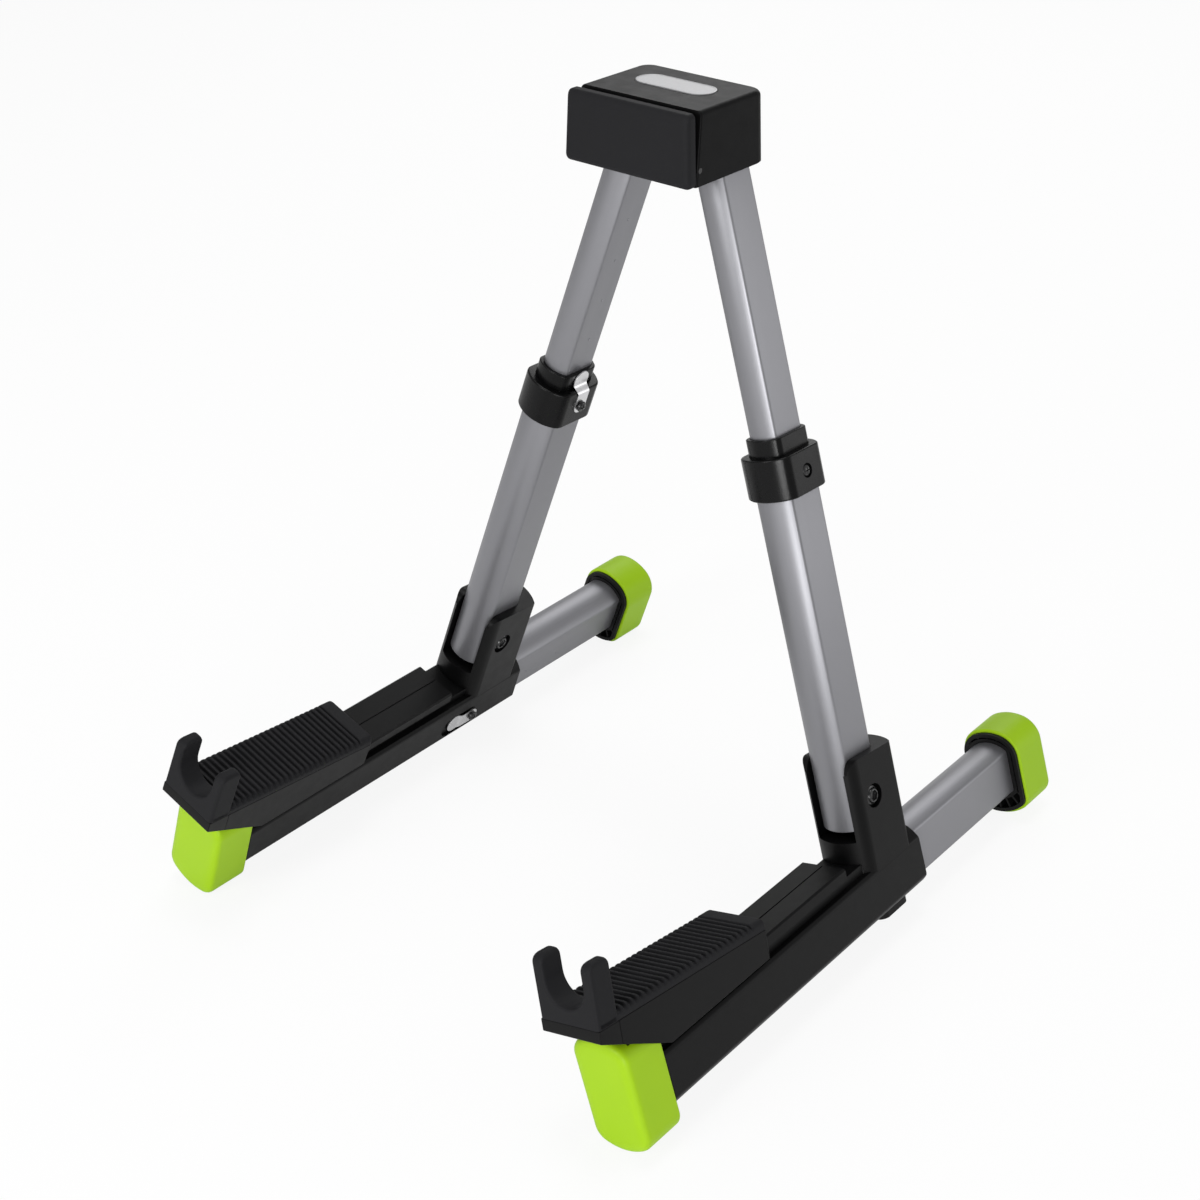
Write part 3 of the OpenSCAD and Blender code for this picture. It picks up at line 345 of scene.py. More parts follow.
class Draft:
    """A mesh in the drawing, in millimetres, until thing makes it an object."""

    def __init__(self):
        self.shape = bmesh.new()

    def skin(self, rings, loop=False, first=True, last=True):
        """Join rings of points; loop closes them on themselves, first and last cap the ends."""
        rows = [[self.shape.verts.new(p) for p in ring] for ring in rings]
        pairs = list(zip(rows, rows[1:])) + ([(rows[-1], rows[0])] if loop else [])
        for low, high in pairs:
            for i in range(len(low)):
                j = (i + 1) % len(low)
                self.shape.faces.new((low[i], low[j], high[j], high[i]))
        if first and not loop:
            self.shape.faces.new(reversed(rows[0]))
        if last and not loop:
            self.shape.faces.new(rows[-1])
        return self

    def box(self, low, high):
        (x0, y0, z0), (x1, y1, z1) = low, high
        return self.skin([[(x0, y0, z), (x1, y0, z), (x1, y1, z), (x0, y1, z)]
                          for z in (z0, z1)])

    def turned(self, profile, steps=48):
        """A round shape about X from (radius, x) points; a radius of 0 closes it."""
        return self.skin([[(x, r * c, r * s) for c, s in circle(1, steps)] for r, x in profile])

    def thing(self, name, side=None, turn=Matrix()):
        if side == "left":
            bmesh.ops.scale(self.shape, vec=(-1, 1, 1), verts=self.shape.verts)
        bmesh.ops.transform(self.shape, matrix=local(side, turn), verts=self.shape.verts)
        bmesh.ops.remove_doubles(self.shape, verts=self.shape.verts, dist=1e-6)
        bmesh.ops.recalc_face_normals(self.shape, faces=self.shape.faces)
        mesh = bpy.data.meshes.new(name)
        self.shape.to_mesh(mesh)
        self.shape.free()
        return added(name, mesh)


def settle(piece):
    """Apply the modifiers of a piece to its mesh."""
    bpy.context.view_layer.update()
    seen = piece.evaluated_get(bpy.context.evaluated_depsgraph_get())
    solid = bpy.data.meshes.new_from_object(seen)
    piece.modifiers.clear()
    piece.data = solid


def carve(piece, tools):
    """Cut each tool's shape out of the piece."""
    for tool in tools:
        cut = piece.modifiers.new("cut", "BOOLEAN")
        cut.operation, cut.solver, cut.object = "DIFFERENCE", "EXACT", tool
        settle(piece)
        bpy.data.objects.remove(tool)


def smooth(piece, crease):
    """Smooth shading, with sharp edges where faces turn by more than the crease."""
    for face in piece.data.polygons:
        face.use_smooth = True
    piece.data.set_sharp_from_angle(angle=math.radians(crease))


def level(piece):
    """Smooth shading that leaves the flats flat beside rounded edges."""
    smooth(piece, crease=50)
    even = piece.modifiers.new("flats", "WEIGHTED_NORMAL")
    even.keep_sharp = True
    settle(piece)


def soften(piece, width, steps, limit):
    """Round the edges that turn by more than the limit."""
    bevel = piece.modifiers.new("edges", "BEVEL")
    bevel.width, bevel.segments = width * MM, steps
    bevel.limit_method, bevel.angle_limit = "ANGLE", math.radians(limit)
    bevel.miter_outer = "MITER_ARC"
    level(piece)


def give(piece, body, slot, finish=None, stands_for=()):
    """Finish, body and what the piece stands for."""
    piece.data.materials.clear()
    piece.data.materials.append(finish or finishes[slot])
    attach(piece, body)
    if stands_for:
        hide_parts(*stands_for)


def repeater():
    """A node tree that repeats a mesh in a straight row."""
    tree = bpy.data.node_groups.new("repeat_shape", "GeometryNodeTree")
    face = tree.interface
    face.new_socket("Geometry", in_out="INPUT", socket_type="NodeSocketGeometry")
    for name, kind in (("Count", "Int"), ("Step", "Vector"), ("Finish", "Material")):
        face.new_socket(name, in_out="INPUT", socket_type="NodeSocket" + kind)
    face.new_socket("Geometry", in_out="OUTPUT", socket_type="NodeSocketGeometry")
    add, link = tree.nodes.new, tree.links.new
    given, out = add("NodeGroupInput"), add("NodeGroupOutput")
    row, copies = add("GeometryNodeMeshLine"), add("GeometryNodeInstanceOnPoints")
    real, paint = add("GeometryNodeRealizeInstances"), add("GeometryNodeSetMaterial")
    link(given.outputs["Count"], row.inputs["Count"])
    link(given.outputs["Step"], row.inputs["Offset"])
    link(row.outputs[0], copies.inputs["Points"])
    link(given.outputs["Geometry"], copies.inputs["Instance"])
    link(copies.outputs[0], real.inputs[0])
    link(real.outputs[0], paint.inputs["Geometry"])
    link(given.outputs["Finish"], paint.inputs["Material"])
    link(paint.outputs[0], out.inputs[0])
    return tree


REPEATER = repeater()


def repeated(draft, count, step, finish=None):
    """The draft's own mesh, repeated by the node tree, as a new draft."""
    piece = draft.thing("one_of_many")
    piece.data.transform(WHOLE.inverted())
    nodes = piece.modifiers.new("repeat", "NODES")
    nodes.node_group = REPEATER
    values = {"Count": count, "Step": step, "Finish": finish}
    for item in REPEATER.interface.items_tree:
        if item.in_out == "INPUT" and item.name in values and values[item.name] is not None:
            nodes[item.identifier] = values[item.name]
    settle(piece)
    many = Draft()
    many.shape.from_mesh(piece.data)
    bpy.data.objects.remove(piece)
    return many


def copied(node, body, width, tools=()):
    """A CAD node's own shape with its loose triangles joined and its edges softened."""
    shape = bmesh.new()
    shape.from_mesh(frame["nodes"][node].data)
    bmesh.ops.remove_doubles(shape, verts=shape.verts, dist=2e-6)
    bmesh.ops.dissolve_limit(shape, angle_limit=math.radians(0.4), verts=shape.verts,
                             edges=shape.edges)
    bmesh.ops.recalc_face_normals(shape, faces=shape.faces)
    mesh = bpy.data.meshes.new(node + "_soft")
    shape.to_mesh(mesh)
    shape.free()
    piece = added(node + "_soft", mesh)
    soften(piece, width, steps=2, limit=30)
    if tools:
        carve(piece, tools)
        level(piece)
    give(piece, body, slot_of[node], stands_for=(node,))


# Head: sizes in millimetres
PIN_HEIGHT = 14
SIDE_WALL = 2.5
LEG_HALF, LEG_PLAY = 7.5, 0.15
HEAD_BASE = PIN_Z - PIN_HEIGHT
HEAD_HEIGHT = 31
HEAD_TOP = HEAD_BASE + HEAD_HEIGHT
HEAD_REAR = PIN_Y + 18.3
PAD_BACK = PIN_Y - 31.9
HEAD_FRONT = PAD_BACK + 0.3
LEG_STOP_X = PIN_X + PIN_HEIGHT * math.tan(SPLAY) + LEG_HALF / math.cos(SPLAY) + LEG_PLAY
HEAD_HALF = LEG_STOP_X + SIDE_WALL
HEAD_TAPER = 1.2
RELIEF = math.radians(7)
PIVOT_Y, PIVOT_Z, PIVOT_R = HEAD_FRONT + 2.6, HEAD_BASE + 6.8, 1.25
HEAD_WALL = 3
HEAD_ROUND, HEAD_CORNER, HEAD_EDGE = 2.5, 7, 0.9
LUG_INSET, LUG_HALF = 6.5, 2.4
BADGE_LENGTH, BADGE_WIDTH, BADGE_GAP, BADGE_SUNK = 40, 15, 0.5, 0.5
BADGE_Y = PIN_Y - 3.5
COVER_THICK, COVER_SOFT, COVER_CORNER = 5.8, 2.6, 2.2
PLATE_EDGE, PLATE_SUNK = 2.98, 2.42


def head_section(z, inset):
    """Outline of the housing at one height: round rear corners, slanted front."""
    half, rear, r = HEAD_HALF - inset, HEAD_REAR - inset, HEAD_CORNER - inset * 0.6
    front = HEAD_FRONT + (z - HEAD_BASE) * math.tan(RELIEF)
    edge = HEAD_EDGE
    outline = (arc(half - r, rear - r, r, 0, 90, 10)
               + arc(-half + r, rear - r, r, 90, 180, 10)
               + arc(-half + edge, front + edge, edge, 180, 270, 3)
               + arc(half - edge, front + edge, edge, 270, 360, 3))
    return along_z(outline, z)


def make_head():
    rings = [head_section(HEAD_BASE, 0.5), head_section(HEAD_BASE + 0.5, 0)]
    for step in range(7):
        turn = math.radians(15 * step)
        rings.append(head_section(HEAD_TOP - HEAD_ROUND + HEAD_ROUND * math.sin(turn),
                                  HEAD_TAPER + HEAD_ROUND * (1 - math.cos(turn))))
    housing = Draft().skin(rings).thing("head_block")
    cavity = Draft().box((-LEG_STOP_X, HEAD_FRONT + 2 * HEAD_WALL, HEAD_BASE - 2),
                         (LEG_STOP_X, HEAD_REAR - HEAD_WALL, HEAD_TOP - HEAD_WALL))
    badge_place = Matrix.Translation((0, BADGE_Y, 0))
    recess = Draft().skin([along_z(capsule(BADGE_LENGTH + BADGE_GAP, BADGE_WIDTH + BADGE_GAP), z)
                           for z in (HEAD_TOP - BADGE_SUNK, HEAD_TOP + 2)])
    tools = [cavity.thing("cavity"), recess.thing("badge_recess", turn=badge_place)]
    for x in (LUG_INSET - HEAD_HALF, HEAD_HALF - LUG_INSET):
        tools.append(Draft().box((x - LUG_HALF, HEAD_FRONT - 6, HEAD_BASE - 2),
                                 (x + LUG_HALF, HEAD_FRONT + 9, PIVOT_Z + 4)).thing("lug_slot"))
    pivot = Draft().turned([(0, -40), (PIVOT_R, -40), (PIVOT_R, 40), (0, 40)], 24)
    tools.append(pivot.thing("pivot_bore", turn=Matrix.Translation((0, PIVOT_Y, PIVOT_Z))))
    carve(housing, tools)
    level(housing)
    give(housing, "head", "housing", stands_for=("head_housing",))

    # Badge: a blank plate with a low raised rim
    rim = ((0, -BADGE_SUNK), (0, 0.2), (0.12, 0.36), (0.35, 0.42), (0.7, 0.42), (0.85, 0.3))
    badge = Draft().skin([along_z(capsule(BADGE_LENGTH - 2 * inset, BADGE_WIDTH - 2 * inset),
                                  HEAD_TOP + rise) for inset, rise in rim])
    badge = badge.thing("badge_plate", turn=badge_place)
    smooth(badge, crease=35)
    give(badge, "head", "badge", stands_for=("head_badge",))

    # Tilting pad: a soft cover with a wider fall at its upper edge
    def cover_ring(y, inset):
        low, high = -HEAD_HEIGHT / 2 + inset, HEAD_HEIGHT / 2 - 1.9 * inset
        half, r = HEAD_HALF - inset, COVER_CORNER
        outline = (arc(half - r, low + r, r, -90, 0, 4)
                   + arc(half - HEAD_TAPER - r, high - r, r, 0, 90, 5)
                   + arc(-half + HEAD_TAPER + r, high - r, r, 90, 180, 5)
                   + arc(-half + r, low + r, r, 180, 270, 4))
        return along_y([(x, z + HEAD_BASE + HEAD_HEIGHT / 2) for x, z in outline], y)

    front, soft = PAD_BACK - COVER_THICK, COVER_SOFT
    rings = [cover_ring(PAD_BACK, 0.35), cover_ring(PAD_BACK - 0.35, 0)]
    for step in range(8):
        turn = math.radians(90 * step / 7)
        rings.append(cover_ring(front + soft * (1 - math.sin(turn)),
                                soft * (1 - math.cos(turn))))
    cover = Draft().skin(rings).thing("tilting_pad_cover")
    recess = Draft().box((-HEAD_HALF + PLATE_EDGE, PAD_BACK - PLATE_SUNK, HEAD_BASE + PLATE_EDGE),
                         (HEAD_HALF - PLATE_EDGE, PAD_BACK + 5, HEAD_TOP - PLATE_EDGE))
    carve(cover, [recess.thing("plate_recess")])
    level(cover)
    give(cover, "head_pad", "pad", stands_for=("head_pad_cover",))


# Tubes, collars and bushes: depth, width and corner of each section, and heights on the leg
UPPER_TUBE, UPPER_WALL, UPPER_ENDS = (23.5, 15, 1.6), 1.2, (108, 318)
LOWER_TUBE, LOWER_WALL, LOWER_ENDS = (28.5, 20.5, 2), 1.5, (-14, 164.5)
REAR_TUBE, REAR_WALL, REAR_LENGTH = (30, 20.5, 2), 1.5, 165
COLLAR = (35.1, 27.1, 6)
COLLAR_SEAT, COLLAR_LIP = (28.54, 20.54, 2), (27.74, 19.24, 4.02)
BUSH = (27.7, 19.2, 4)
BUSH_SKIRT, BUSH_BORE = (25.46, 17.46, 1.6), (24.1, 15.6, 1.6)
COLLAR_LOW, COLLAR_TOP, BUSH_LOW, BUSH_TOP = 147.5, 167, 148.5, 175
SHOULDER_Z = 164.52
COLLAR_SCREW_Z = 157.25
CATCH_PIN_Z = 171
CATCH_TAB_HALF = 4.4
SINK_R, SINK_FLOOR_X = 3.25, 12.15
PIN_HOLE_R = 1.2
TUBE_EDGE, COLLAR_EDGE, BUSH_EDGE = 0.3, 0.8, 0.45
HOLE_COUNT, HOLE_PITCH, REAR_HOLES = 5, 22, (-23, 39, 65)
DIMPLE_R, DIMPLE_OUT = 0.74, 0.25


def rolled(edge, steps=3):
    """Pairs of inset and rise over a rounded edge, from the end face to the side."""
    turns = [math.radians(90 * i / steps) for i in range(steps + 1)]
    return [(edge * (1 - math.sin(a)), edge * (1 - math.cos(a))) for a in turns]


def sleeve(outer, z0, z1, edge, bore):
    """A sleeve along Z with rounded ends; bore lists the sections from its top end to its low one."""
    def ring(size, inset, z):
        depth, width, corner = size
        outline = flat_sided(depth - 2 * inset, width - 2 * inset, corner, corner, 22, 8)
        return along_z(outline, z)
    rings = [ring(outer, inset, z0 + rise) for inset, rise in rolled(edge)]
    rings += [ring(outer, inset, z1 - rise) for inset, rise in reversed(rolled(edge))]
    return Draft().skin(rings + [ring(size, 0, z) for size, z in bore], loop=True)


def hollow(size, wall, z0, z1):
    """A tube along Z."""
    depth, width, corner = size
    inner = (depth - 2 * wall, width - 2 * wall, corner - wall / 2)
    return sleeve(size, z0, z1, TUBE_EDGE, [(inner, z1), (inner, z0)])


def make_collar(side):
    collar = sleeve(COLLAR, COLLAR_LOW, COLLAR_TOP, COLLAR_EDGE,
                    [(COLLAR_LIP, COLLAR_TOP), (COLLAR_LIP, SHOULDER_Z),
                     (COLLAR_SEAT, SHOULDER_Z), (COLLAR_SEAT, COLLAR_LOW)])
    piece = collar.thing(side + "_collar_sleeve", side, LEG_TURN)
    notch = Draft().box((-27, -CATCH_TAB_HALF, COLLAR_TOP - 2), (0, CATCH_TAB_HALF, 190))
    sink = Draft().turned([(0, SINK_FLOOR_X), (SINK_R, SINK_FLOOR_X), (SINK_R, 20), (0, 20)], 32)
    carve(piece, [notch.thing("notch", side, LEG_TURN),
                  sink.thing("sink", side, LEG_TURN @ Matrix.Translation((0, 0, COLLAR_SCREW_Z)))])
    soften(piece, width=0.2, steps=1, limit=50)
    give(piece, side + "_lower_leg", "moulding", stands_for=(side + "_collar",))

    rim_z = SHOULDER_Z + 0.01
    bush = sleeve(BUSH, rim_z, BUSH_TOP, BUSH_EDGE,
                  [(BUSH_BORE, BUSH_TOP), (BUSH_BORE, BUSH_LOW),
                   (BUSH_SKIRT, BUSH_LOW), (BUSH_SKIRT, rim_z)])
    piece = bush.thing(side + "_collar_bush_sleeve", side, LEG_TURN)
    hole = Draft().turned([(0, -20), (PIN_HOLE_R, -20), (PIN_HOLE_R, -5), (0, -5)], 24)
    carve(piece, [hole.thing("hole", side, LEG_TURN @ Matrix.Translation((0, 0, CATCH_PIN_Z)))])
    level(piece)
    node = side + "_collar_bush"
    give(piece, side + "_lower_leg", slot_of[node], stands_for=(node,))


def dimple_ball(draft, at=(0, 0, 0)):
    bmesh.ops.create_uvsphere(draft.shape, u_segments=14, v_segments=8, radius=DIMPLE_R,
                              matrix=Matrix.Translation(at))


def make_tubes(side):
    def give_tube(piece, which, finish):
        smooth(piece, crease=35)
        give(piece, f"{side}_{which}_leg", "tube", finish, (f"{side}_{which}_tube",))

    upper = hollow(UPPER_TUBE, UPPER_WALL, *UPPER_ENDS)
    upper = upper.thing(side + "_upper_leg_tube", side, LEG_TURN)
    ball = Draft()
    dimple_ball(ball)
    row = repeated(ball, HOLE_COUNT, (0, 0, HOLE_PITCH))
    bmesh.ops.translate(row.shape, vec=(-UPPER_TUBE[1] / 2 - DIMPLE_OUT, 0, CATCH_PIN_Z),
                        verts=row.shape.verts)
    carve(upper, [row.thing("dimples", side, LEG_TURN)])
    give_tube(upper, "upper", tubes[side])

    lower = hollow(LOWER_TUBE, LOWER_WALL, *LOWER_ENDS)
    lower = lower.thing(side + "_lower_leg_tube", side, LEG_TURN)
    give_tube(lower, "lower", tubes[side])

    lay = Matrix.Translation((0, 0, -ARM_DROP)) @ Matrix.Rotation(math.radians(-90), 4, "X")
    rear = hollow(REAR_TUBE, REAR_WALL, REAR_REACH - REAR_LENGTH, REAR_REACH)
    rear = rear.thing(side + "_rear_leg_tube", side, lay)
    pits = Draft()
    for y in REAR_HOLES:
        dimple_ball(pits, (-REAR_TUBE[1] / 2 - DIMPLE_OUT, y, -ARM_DROP - 3))
    carve(rear, [pits.thing("rear_dimples", side)])
    give_tube(rear, "rear", rear_tube_finish)


# Screws: each profile is (radius, x) with the seat of the head at x = 0
BOLT_HEAD = [(4.75, 0), (4.75, 0.7), (4.6, 0.95), (4.3, 1.1), (3.6, 1.25), (3.45, 1.4),
             (3.3, 2.0), (3.1, 2.25), (2.8, 2.4), (0, 2.4)]
BOLT_SHANK = [(0, -20.8), (1.98, -20.8), (1.98, 0)]
BARREL_SHANK = [(0, -2), (2, -2), (2, -24.8), (3, -24.8), (3, 0)]
PAN_HEAD = [(2.7, 0), (2.75, 0.25), (2.65, 0.6), (2.4, 0.95), (1.9, 1.25), (1.2, 1.42), (0, 1.5)]
BOLT_SEAT_X, HEX_ACROSS = 15 - 2.6, 4.6
SCREW_R, CROSS_LONG, CROSS_HALF = 1.45, 1.7, 0.32


def make_bolts(side):
    hexagon = circle(HEX_ACROSS / math.sqrt(3), 6)
    for name, flip, shank in (("hinge_screw", 1, BOLT_SHANK), ("hinge_barrel", -1, BARREL_SHANK)):
        head = Draft().turned(shank + BOLT_HEAD)
        tool = Draft().skin([along_x(hexagon, depth) for depth in (1.0, 4)])
        for draft in (head, tool):
            bmesh.ops.translate(draft.shape, vec=(BOLT_SEAT_X, 0, 0), verts=draft.shape.verts)
            bmesh.ops.scale(draft.shape, vec=(flip, 1, 1), verts=draft.shape.verts)
        piece = head.thing(f"{side}_{name}_black", side)
        carve(piece, [tool.thing("hex_tool", side)])
        soften(piece, width=0.12, steps=2, limit=50)
        give(piece, side + "_arm", "screw", stands_for=(f"{side}_{name}",))


def small_screw(side, node, body, seat, outward, reach, turn=Matrix()):
    """A pan-head screw with a cross recess; outward is 1 or -1 along X."""
    screw = Draft().turned([(0, -reach), (SCREW_R, -reach), (SCREW_R, 0)] + PAN_HEAD, 32)
    tools = [Draft().box((0.7, -y, -z), (3, y, z))
             for y, z in ((CROSS_LONG, CROSS_HALF), (CROSS_HALF, CROSS_LONG))]
    for draft in (screw, *tools):
        bmesh.ops.scale(draft.shape, vec=(outward, 1, 1), verts=draft.shape.verts)
        bmesh.ops.translate(draft.shape, vec=seat, verts=draft.shape.verts)
    piece = screw.thing(f"{side}_{node}_black", side, turn)
    carve(piece, [tool.thing("cross_tool", side, turn) for tool in tools])
    smooth(piece, crease=40)
    give(piece, f"{side}_{body}", "screw", stands_for=(f"{side}_{node}",))


# Leaf catches: from the screw to the pin, the sheet's thickness, and the radii of its two ends
LEAF_REACH, LEAF_SHEET, LEAF_FOOT_R, LEAF_TAB_R = 12.5, 0.6, 4, 5
LEAF_SEAT, COLLAR_SCREW_SUNK = 1.2, 1.4
ARM_CATCH = (-15, REAR_HOLES[0] + LEAF_REACH, -48)


def leaf(step):
    """A leaf catch: round foot at the screw, a strip, and a round tab stepped in by step."""
    reach, foot_r, tab_r, stations = LEAF_REACH, LEAF_FOOT_R, LEAF_TAB_R, 56
    start, end = -foot_r + 0.02, reach + tab_r - 0.02
    bend_low, bend_high = reach - 5.2, reach - 1.8
    rings = []
    for i in range(stations + 1):
        t = 0.5 - 0.5 * math.cos(math.pi * i / stations)
        s = start + (end - start) * t
        if s < 0:
            half = math.sqrt(max(foot_r ** 2 - s * s, 0.01))
        elif s > reach:
            half = math.sqrt(max(tab_r ** 2 - (s - reach) ** 2, 0.01))
        else:
            half = foot_r + (tab_r - foot_r) * eased((s - bend_low) / (reach - bend_low))
        x = step * eased((s - bend_low) / (bend_high - bend_low))
        rings.append([(x - LEAF_SHEET, -half, s), (x, -half, s), (x, half, s),
                      (x - LEAF_SHEET, half, s)])
    return Draft().skin(rings)


def make_catches(side):
    def make_leaf(step, place, name, turn=Matrix()):
        draft = leaf(step)
        bmesh.ops.transform(draft.shape, matrix=place, verts=draft.shape.verts)
        catch = draft.thing(f"{side}_{name}_leaf_spring", side, turn)
        soften(catch, width=0.14, steps=2, limit=50)
        give(catch, f"{side}_{name}_leaf", "leaf", stands_for=(f"{side}_{name}_catch",))

    face_x = COLLAR[1] / 2
    screw_z = CATCH_PIN_Z - LEAF_REACH
    make_leaf(3.65, Matrix.Translation((-face_x, 0, screw_z)), "collar", LEG_TURN)
    small_screw(side, "collar_catch_screw", "lower_leg", (-face_x - LEAF_SEAT, 0, screw_z),
                outward=-1, reach=6.5, turn=LEG_TURN)
    small_screw(side, "collar_screw", "lower_leg", (face_x - COLLAR_SCREW_SUNK, 0, COLLAR_SCREW_Z),
                outward=1, reach=3.9, turn=LEG_TURN)

    lay = Matrix.Rotation(math.radians(90), 4, "X")
    make_leaf(1.0, Matrix.Translation(ARM_CATCH) @ lay, "arm")
    x, y, z = ARM_CATCH
    small_screw(side, "arm_catch_screw", "arm", (x - LEAF_SEAT, y, z), outward=-1, reach=5.15)


# Feet: depth, width, corner, crown and rise of each section, and places along the arm
FRONT_FOOT, FRONT_BORE = (2 * TREAD_R, 30.4, 8, 8, 2.6), (32.84, 26.84, 3, 3, 0)
FRONT_FOOT_END, FRONT_FOOT_FLOOR, FRONT_FOOT_OPEN = -191.5, -185, -169
FOOT_DROP = 2.25
REAR_FOOT = (2 * (TREAD_R - FOOT_DROP * math.cos(SPLAY)), 32.6, 8, 13, 0)
REAR_BORE = (44.04, 30.04, 5, 11.7, 0)
REAR_FOOT_LENGTH, REAR_PLUG_END = 24, REAR_REACH + 4.02
PILLOW_IN, PILLOW_DEEP, PILLOW_POWER = 6.4, 4.2, 2 / 3.0
RAIL_HALF, RAIL_LOW = 12.52, 11.75 - ARM_DROP
NOSE_Z = PAD_BASE + PAD_LENGTH * math.sin(PAD_SLOPE) - NOSE_DROP * math.cos(PAD_SLOPE)
NOSE_RAKE = math.radians(-30.5)


def foot_ring(depth, width, corner, crown, rise, inset, y, z):
    """The feet's section; the rise lifts its upper half."""
    outline = flat_sided(depth - 2 * inset, width - 2 * inset, corner - inset, crown - inset,
                         24, 9)
    return along_y([(x, v + z + (rise if v > 0 else 0)) for x, v in outline], y)


def foot_cup(outer, inner, closed_y, floor_y, open_y, z):
    """A cup with a pillowed closed end and a rolled open one."""
    way = 1 if open_y > closed_y else -1
    rings = []
    for step in range(13):
        turn = math.radians(90 * step / 12)
        inset = PILLOW_IN * (1 - math.sin(turn) ** PILLOW_POWER)
        back = PILLOW_DEEP * (1 - math.cos(turn) ** PILLOW_POWER)
        rings.append(foot_ring(*outer, inset, closed_y + way * back, z))
    rings += [foot_ring(*outer, inset, open_y - way * back, z)
              for inset, back in ((0, 1.0), (0.08, 0.6), (0.3, 0.25), (0.7, 0.04), (0.9, 0))]
    rings += [foot_ring(*inner, 0, y, z) for y in (open_y, floor_y)]
    return Draft().skin(rings)


def make_feet(side):
    front = foot_cup(FRONT_FOOT, FRONT_BORE, FRONT_FOOT_END, FRONT_FOOT_FLOOR, FRONT_FOOT_OPEN,
                     -ARM_DROP)
    piece = front.thing(side + "_front_rubber_foot", side)
    rake_place = (Matrix.Translation((0, -FRONT_REACH, NOSE_Z - 0.3))
                  @ Matrix.Rotation(NOSE_RAKE, 4, "X"))
    rake = Draft().box((-60, -60, 0), (60, 120, 90)).thing("rake", side, rake_place)
    rail = Draft().box((-RAIL_HALF, FRONT_FOOT_FLOOR, RAIL_LOW), (RAIL_HALF, 0, 60))
    carve(piece, [rake, rail.thing("rail_gap", side)])
    level(piece)
    give(piece, side + "_arm", "foot", stands_for=(side + "_front_foot",))

    rear = foot_cup(REAR_FOOT, REAR_BORE, REAR_FOOT_END, REAR_PLUG_END,
                    REAR_FOOT_END - REAR_FOOT_LENGTH, -ARM_DROP - FOOT_DROP)
    piece = rear.thing(side + "_rear_rubber_foot", side)
    level(piece)
    give(piece, side + "_rear_leg", "foot", stands_for=(side + "_rear_foot",))


# Cradle pads
PAD_HALF, PAD_THICK, SHOULDER_R = 16.3, 4.9, 2.8
RIB_PITCH, RIB_COUNT, GROOVE_DEEP, FIRST_CREST = 3.45, 25, 1.3, -92.8
CREST_BOW = 0.1
FORK_DEEP, FORK_TALL, FORK_GAP_HALF, FORK_GAP_Z = 12, 28, 10.5, 17.5
FORK_RIM_FRONT, FORK_RIM_BACK, FORK_TOP_FRONT, FORK_TOP_BACK = 1.6, 1.2, 4, 3
FORK_BACK = -PAD_LENGTH + FORK_DEEP
SEAM_SUNK, SEAM_HALF = 0.25, 0.2


def rubber_section(y, sink, inset=0.0):
    """The rubber's outline at one place; sink lowers its top and fades out on its shoulders."""
    half, top, r = PAD_HALF - inset, PAD_THICK - inset, SHOULDER_R
    right = [(half - 0.35, 0.02), (half - 0.1, 0.12), (half, 0.4)]
    for step in range(10):
        lean = 90 - 10 * step
        reach = r - sink * eased((86 - lean) / 56)
        right.append((half - r + reach * math.sin(math.radians(lean)),
                      top - r + reach * math.cos(math.radians(lean))))
    right += [(share * (half - r), top - sink) for share in (0.66, 0.33)]
    return along_y(right + [(0, top - sink)] + [(-x, z) for x, z in reversed(right)], y)


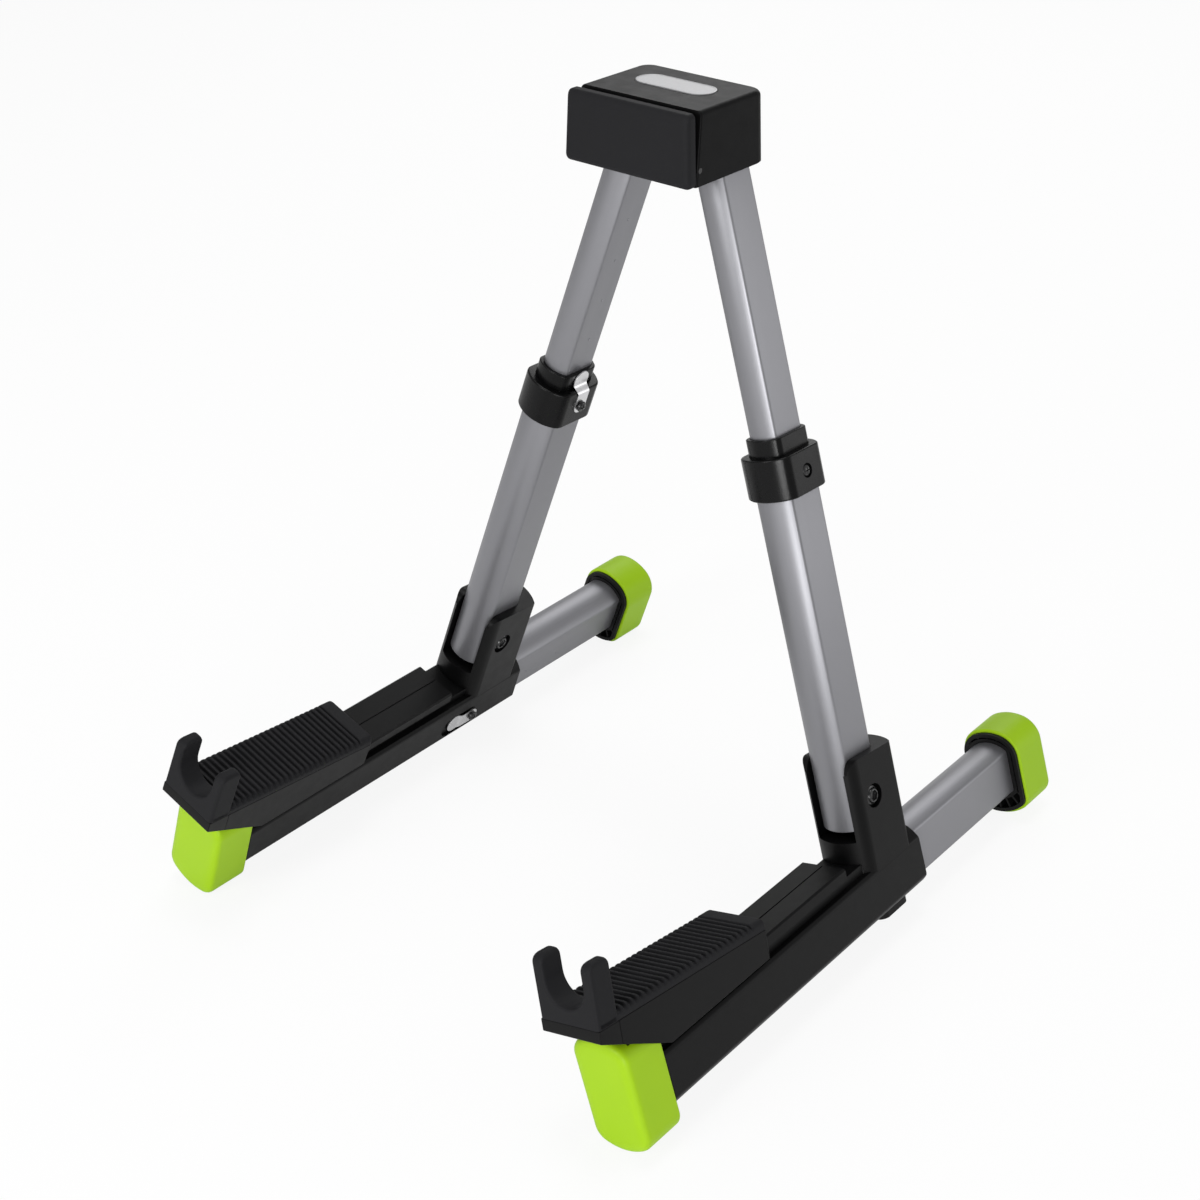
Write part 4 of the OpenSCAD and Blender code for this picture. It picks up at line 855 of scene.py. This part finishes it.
def make_pad(side):
    # One rib from groove to groove, repeated along the pad, with a plain strip at each end
    period = []
    for share in (-1, -0.64, -0.54, -0.44, -0.34, -0.18, 0, 0.18, 0.34, 0.44, 0.54, 0.64, 1):
        sink = GROOVE_DEEP * eased((abs(share) - 0.3) / 0.34) + CREST_BOW * abs(share)
        period.append(rubber_section(share * RIB_PITCH / 2, sink))
    groove = GROOVE_DEEP + CREST_BOW
    rubber = repeated(Draft().skin(period, first=False, last=False), RIB_COUNT,
                      (0, RIB_PITCH, 0), finishes["pad"])
    bmesh.ops.translate(rubber.shape, vec=(0, FIRST_CREST, 0), verts=rubber.shape.verts)
    start = FIRST_CREST - RIB_PITCH / 2
    end = start + RIB_COUNT * RIB_PITCH
    rubber.skin([rubber_section(y, groove) for y in (-PAD_LENGTH + 1, start)], last=False)
    plain = [(end, groove, 0), (end + 0.35, 0.8, 0), (end + 0.65, 0.25, 0), (end + 1, 0, 0),
             (-1.5, 0, 0), (-0.6, 0, 0.06), (-0.2, 0, 0.3), (0, 0, 0.7)]
    rubber.skin([rubber_section(*place) for place in plain], first=False)
    piece = rubber.thing(side + "_pad_rubber_ribbed", side, PAD_PLACE)
    level(piece)
    give(piece, side + "_pad", "pad", stands_for=(side + "_pad_rubber",))

    # Fork: two fingers round a U-shaped gap, all its edges rolled
    rings = []
    for d in (0, 0.08, 0.25, 0.5, 0.9, 1.6, 2.6, 4, 6.5, 9, 9.8, 10.5, 11, 11.45, 11.75, 11.93,
              FORK_DEEP):
        rim = (fallen(FORK_RIM_FRONT, FORK_RIM_FRONT - d)
               + fallen(FORK_RIM_BACK, d - (FORK_DEEP - FORK_RIM_BACK)))
        top = FORK_TALL - (fallen(FORK_TOP_FRONT, FORK_TOP_FRONT - d)
                           + fallen(FORK_TOP_BACK, d - (FORK_DEEP - FORK_TOP_BACK)))
        half, gap = PAD_HALF - rim, FORK_GAP_HALF + rim
        tip = min(1.9, (half - gap) / 2 - 0.06)
        right = (arc(half - tip, top - tip, tip, 0, 90, 6)
                 + arc(gap + tip, top - tip, tip, 90, 180, 6)
                 + arc(0, FORK_GAP_Z, gap, 0, -90, 14))
        left = [(-x, z) for x, z in reversed(right[:-1])]
        rings.append(along_y([(half, 0.02)] + right + left + [(-half, 0.02)], -PAD_LENGTH + d))
    piece = Draft().skin(rings).thing(side + "_pad_fork", side, PAD_PLACE)
    level(piece)
    give(piece, side + "_pad", "pad")


def seam_tools(side):
    """Thin cuts down both sides of the carriage, in line with the fork's back."""
    return [Draft().box((sign * (PAD_HALF - SEAM_SUNK), FORK_BACK - SEAM_HALF, -40),
                        (sign * 18, FORK_BACK + SEAM_HALF, 2)).thing("seam_tool", side, PAD_PLACE)
            for sign in (-1, 1)]


make_head()
for side in ("left", "right"):
    make_tubes(side)
    make_collar(side)
    make_bolts(side)
    make_catches(side)
    make_feet(side)
    make_pad(side)
    copied(side + "_base_arm", side + "_arm", width=0.6)
    copied(side + "_arm_bumper", side + "_arm", width=0.6)
    copied(side + "_pad_carriage", side + "_pad", width=0.45,
           tools=seam_tools(side))


# Stage: a pale floor, plain light and a white surround; sizes in metres, lamps in watts
WHITE = (1, 1, 1, 1)
FLOOR_REACH, FLOOR_COLOUR, FLOOR_WHITE, FLOOR_GLOSS = 9, (0.93, 0.93, 0.93, 1), 0.89, 0.4
SKY_STRENGTH, SKY_GLOSS = 0.4, 0.3
LAMP_TARGET = Vector((0, 0, 0.15))
LAMPS = (("front_softbox", (-0.3, -1.9, 0.9), 0.7, 15),
         ("corner_softbox", (1.15, -1.6, 0.35), 0.55, 18),
         ("side_softbox", (1.5, 1.35, 0.5), 1.0, 5),
         ("top_softbox", (-0.1, 0.1, 2.1), 0.7, 12),
         ("rear_softbox", (-0.9, 1.7, 1.3), 1.0, 8))


def shown_white(nodes, lit, white, gloss, share=1.0):
    """Mix a lit surface with white where the camera, gloss or glass looks at it."""
    camera, glossy, clear = (nodes.node("ShaderNodeLightPath", out=f"Is {ray} Ray")
                             for ray in ("Camera", "Glossy", "Transmission"))
    return nodes.node("ShaderNodeMixShader", None,
                      {0: (camera + glossy * gloss + clear) * share, 1: lit, 2: white})


def lay_stage():
    mesh = bpy.data.meshes.new("floor")
    corners = [(x * FLOOR_REACH, y * FLOOR_REACH, 0)
               for x, y in ((-1, -1), (1, -1), (1, 1), (-1, 1))]
    mesh.from_pydata(corners, [], [(0, 1, 2, 3)])
    floor = added("floor", mesh)
    pale = Finish("pale_floor")
    pale.feed("Base Color", FLOOR_COLOUR)
    pale.feed("Roughness", 0.9)
    lit = Field(pale.tree, pale.shader.outputs[0])
    white = pale.node("ShaderNodeEmission", None, {"Color": WHITE, "Strength": 1.0})
    put(pale.tree, pale.tree.nodes["Material Output"].inputs["Surface"],
        shown_white(pale, lit, white, FLOOR_GLOSS, FLOOR_WHITE))
    mesh.materials.append(pale.material)

    world = bpy.data.worlds.new("studio")
    world.use_nodes = True
    bpy.context.scene.world = world
    sky = Nodes(world.node_tree)
    sky.tree.nodes.remove(sky.tree.nodes["Background"])
    lit, white = (sky.node("ShaderNodeBackground", None, {"Color": WHITE, "Strength": strength})
                  for strength in (SKY_STRENGTH, 1.0))
    put(sky.tree, sky.tree.nodes["World Output"].inputs["Surface"],
        shown_white(sky, lit, white, SKY_GLOSS))

    for name, at, size, watts in LAMPS:
        lamp = bpy.data.lights.new(name, "AREA")
        lamp.shape, lamp.size, lamp.energy = "SQUARE", size, watts
        box = added(name, lamp)
        box.location = at
        box.rotation_mode = "QUATERNION"
        box.rotation_quaternion = (LAMP_TARGET - Vector(at)).to_track_quat("-Z", "Y")


aim_camera()
lay_stage()
bpy.context.scene.view_settings.view_transform = "Standard"
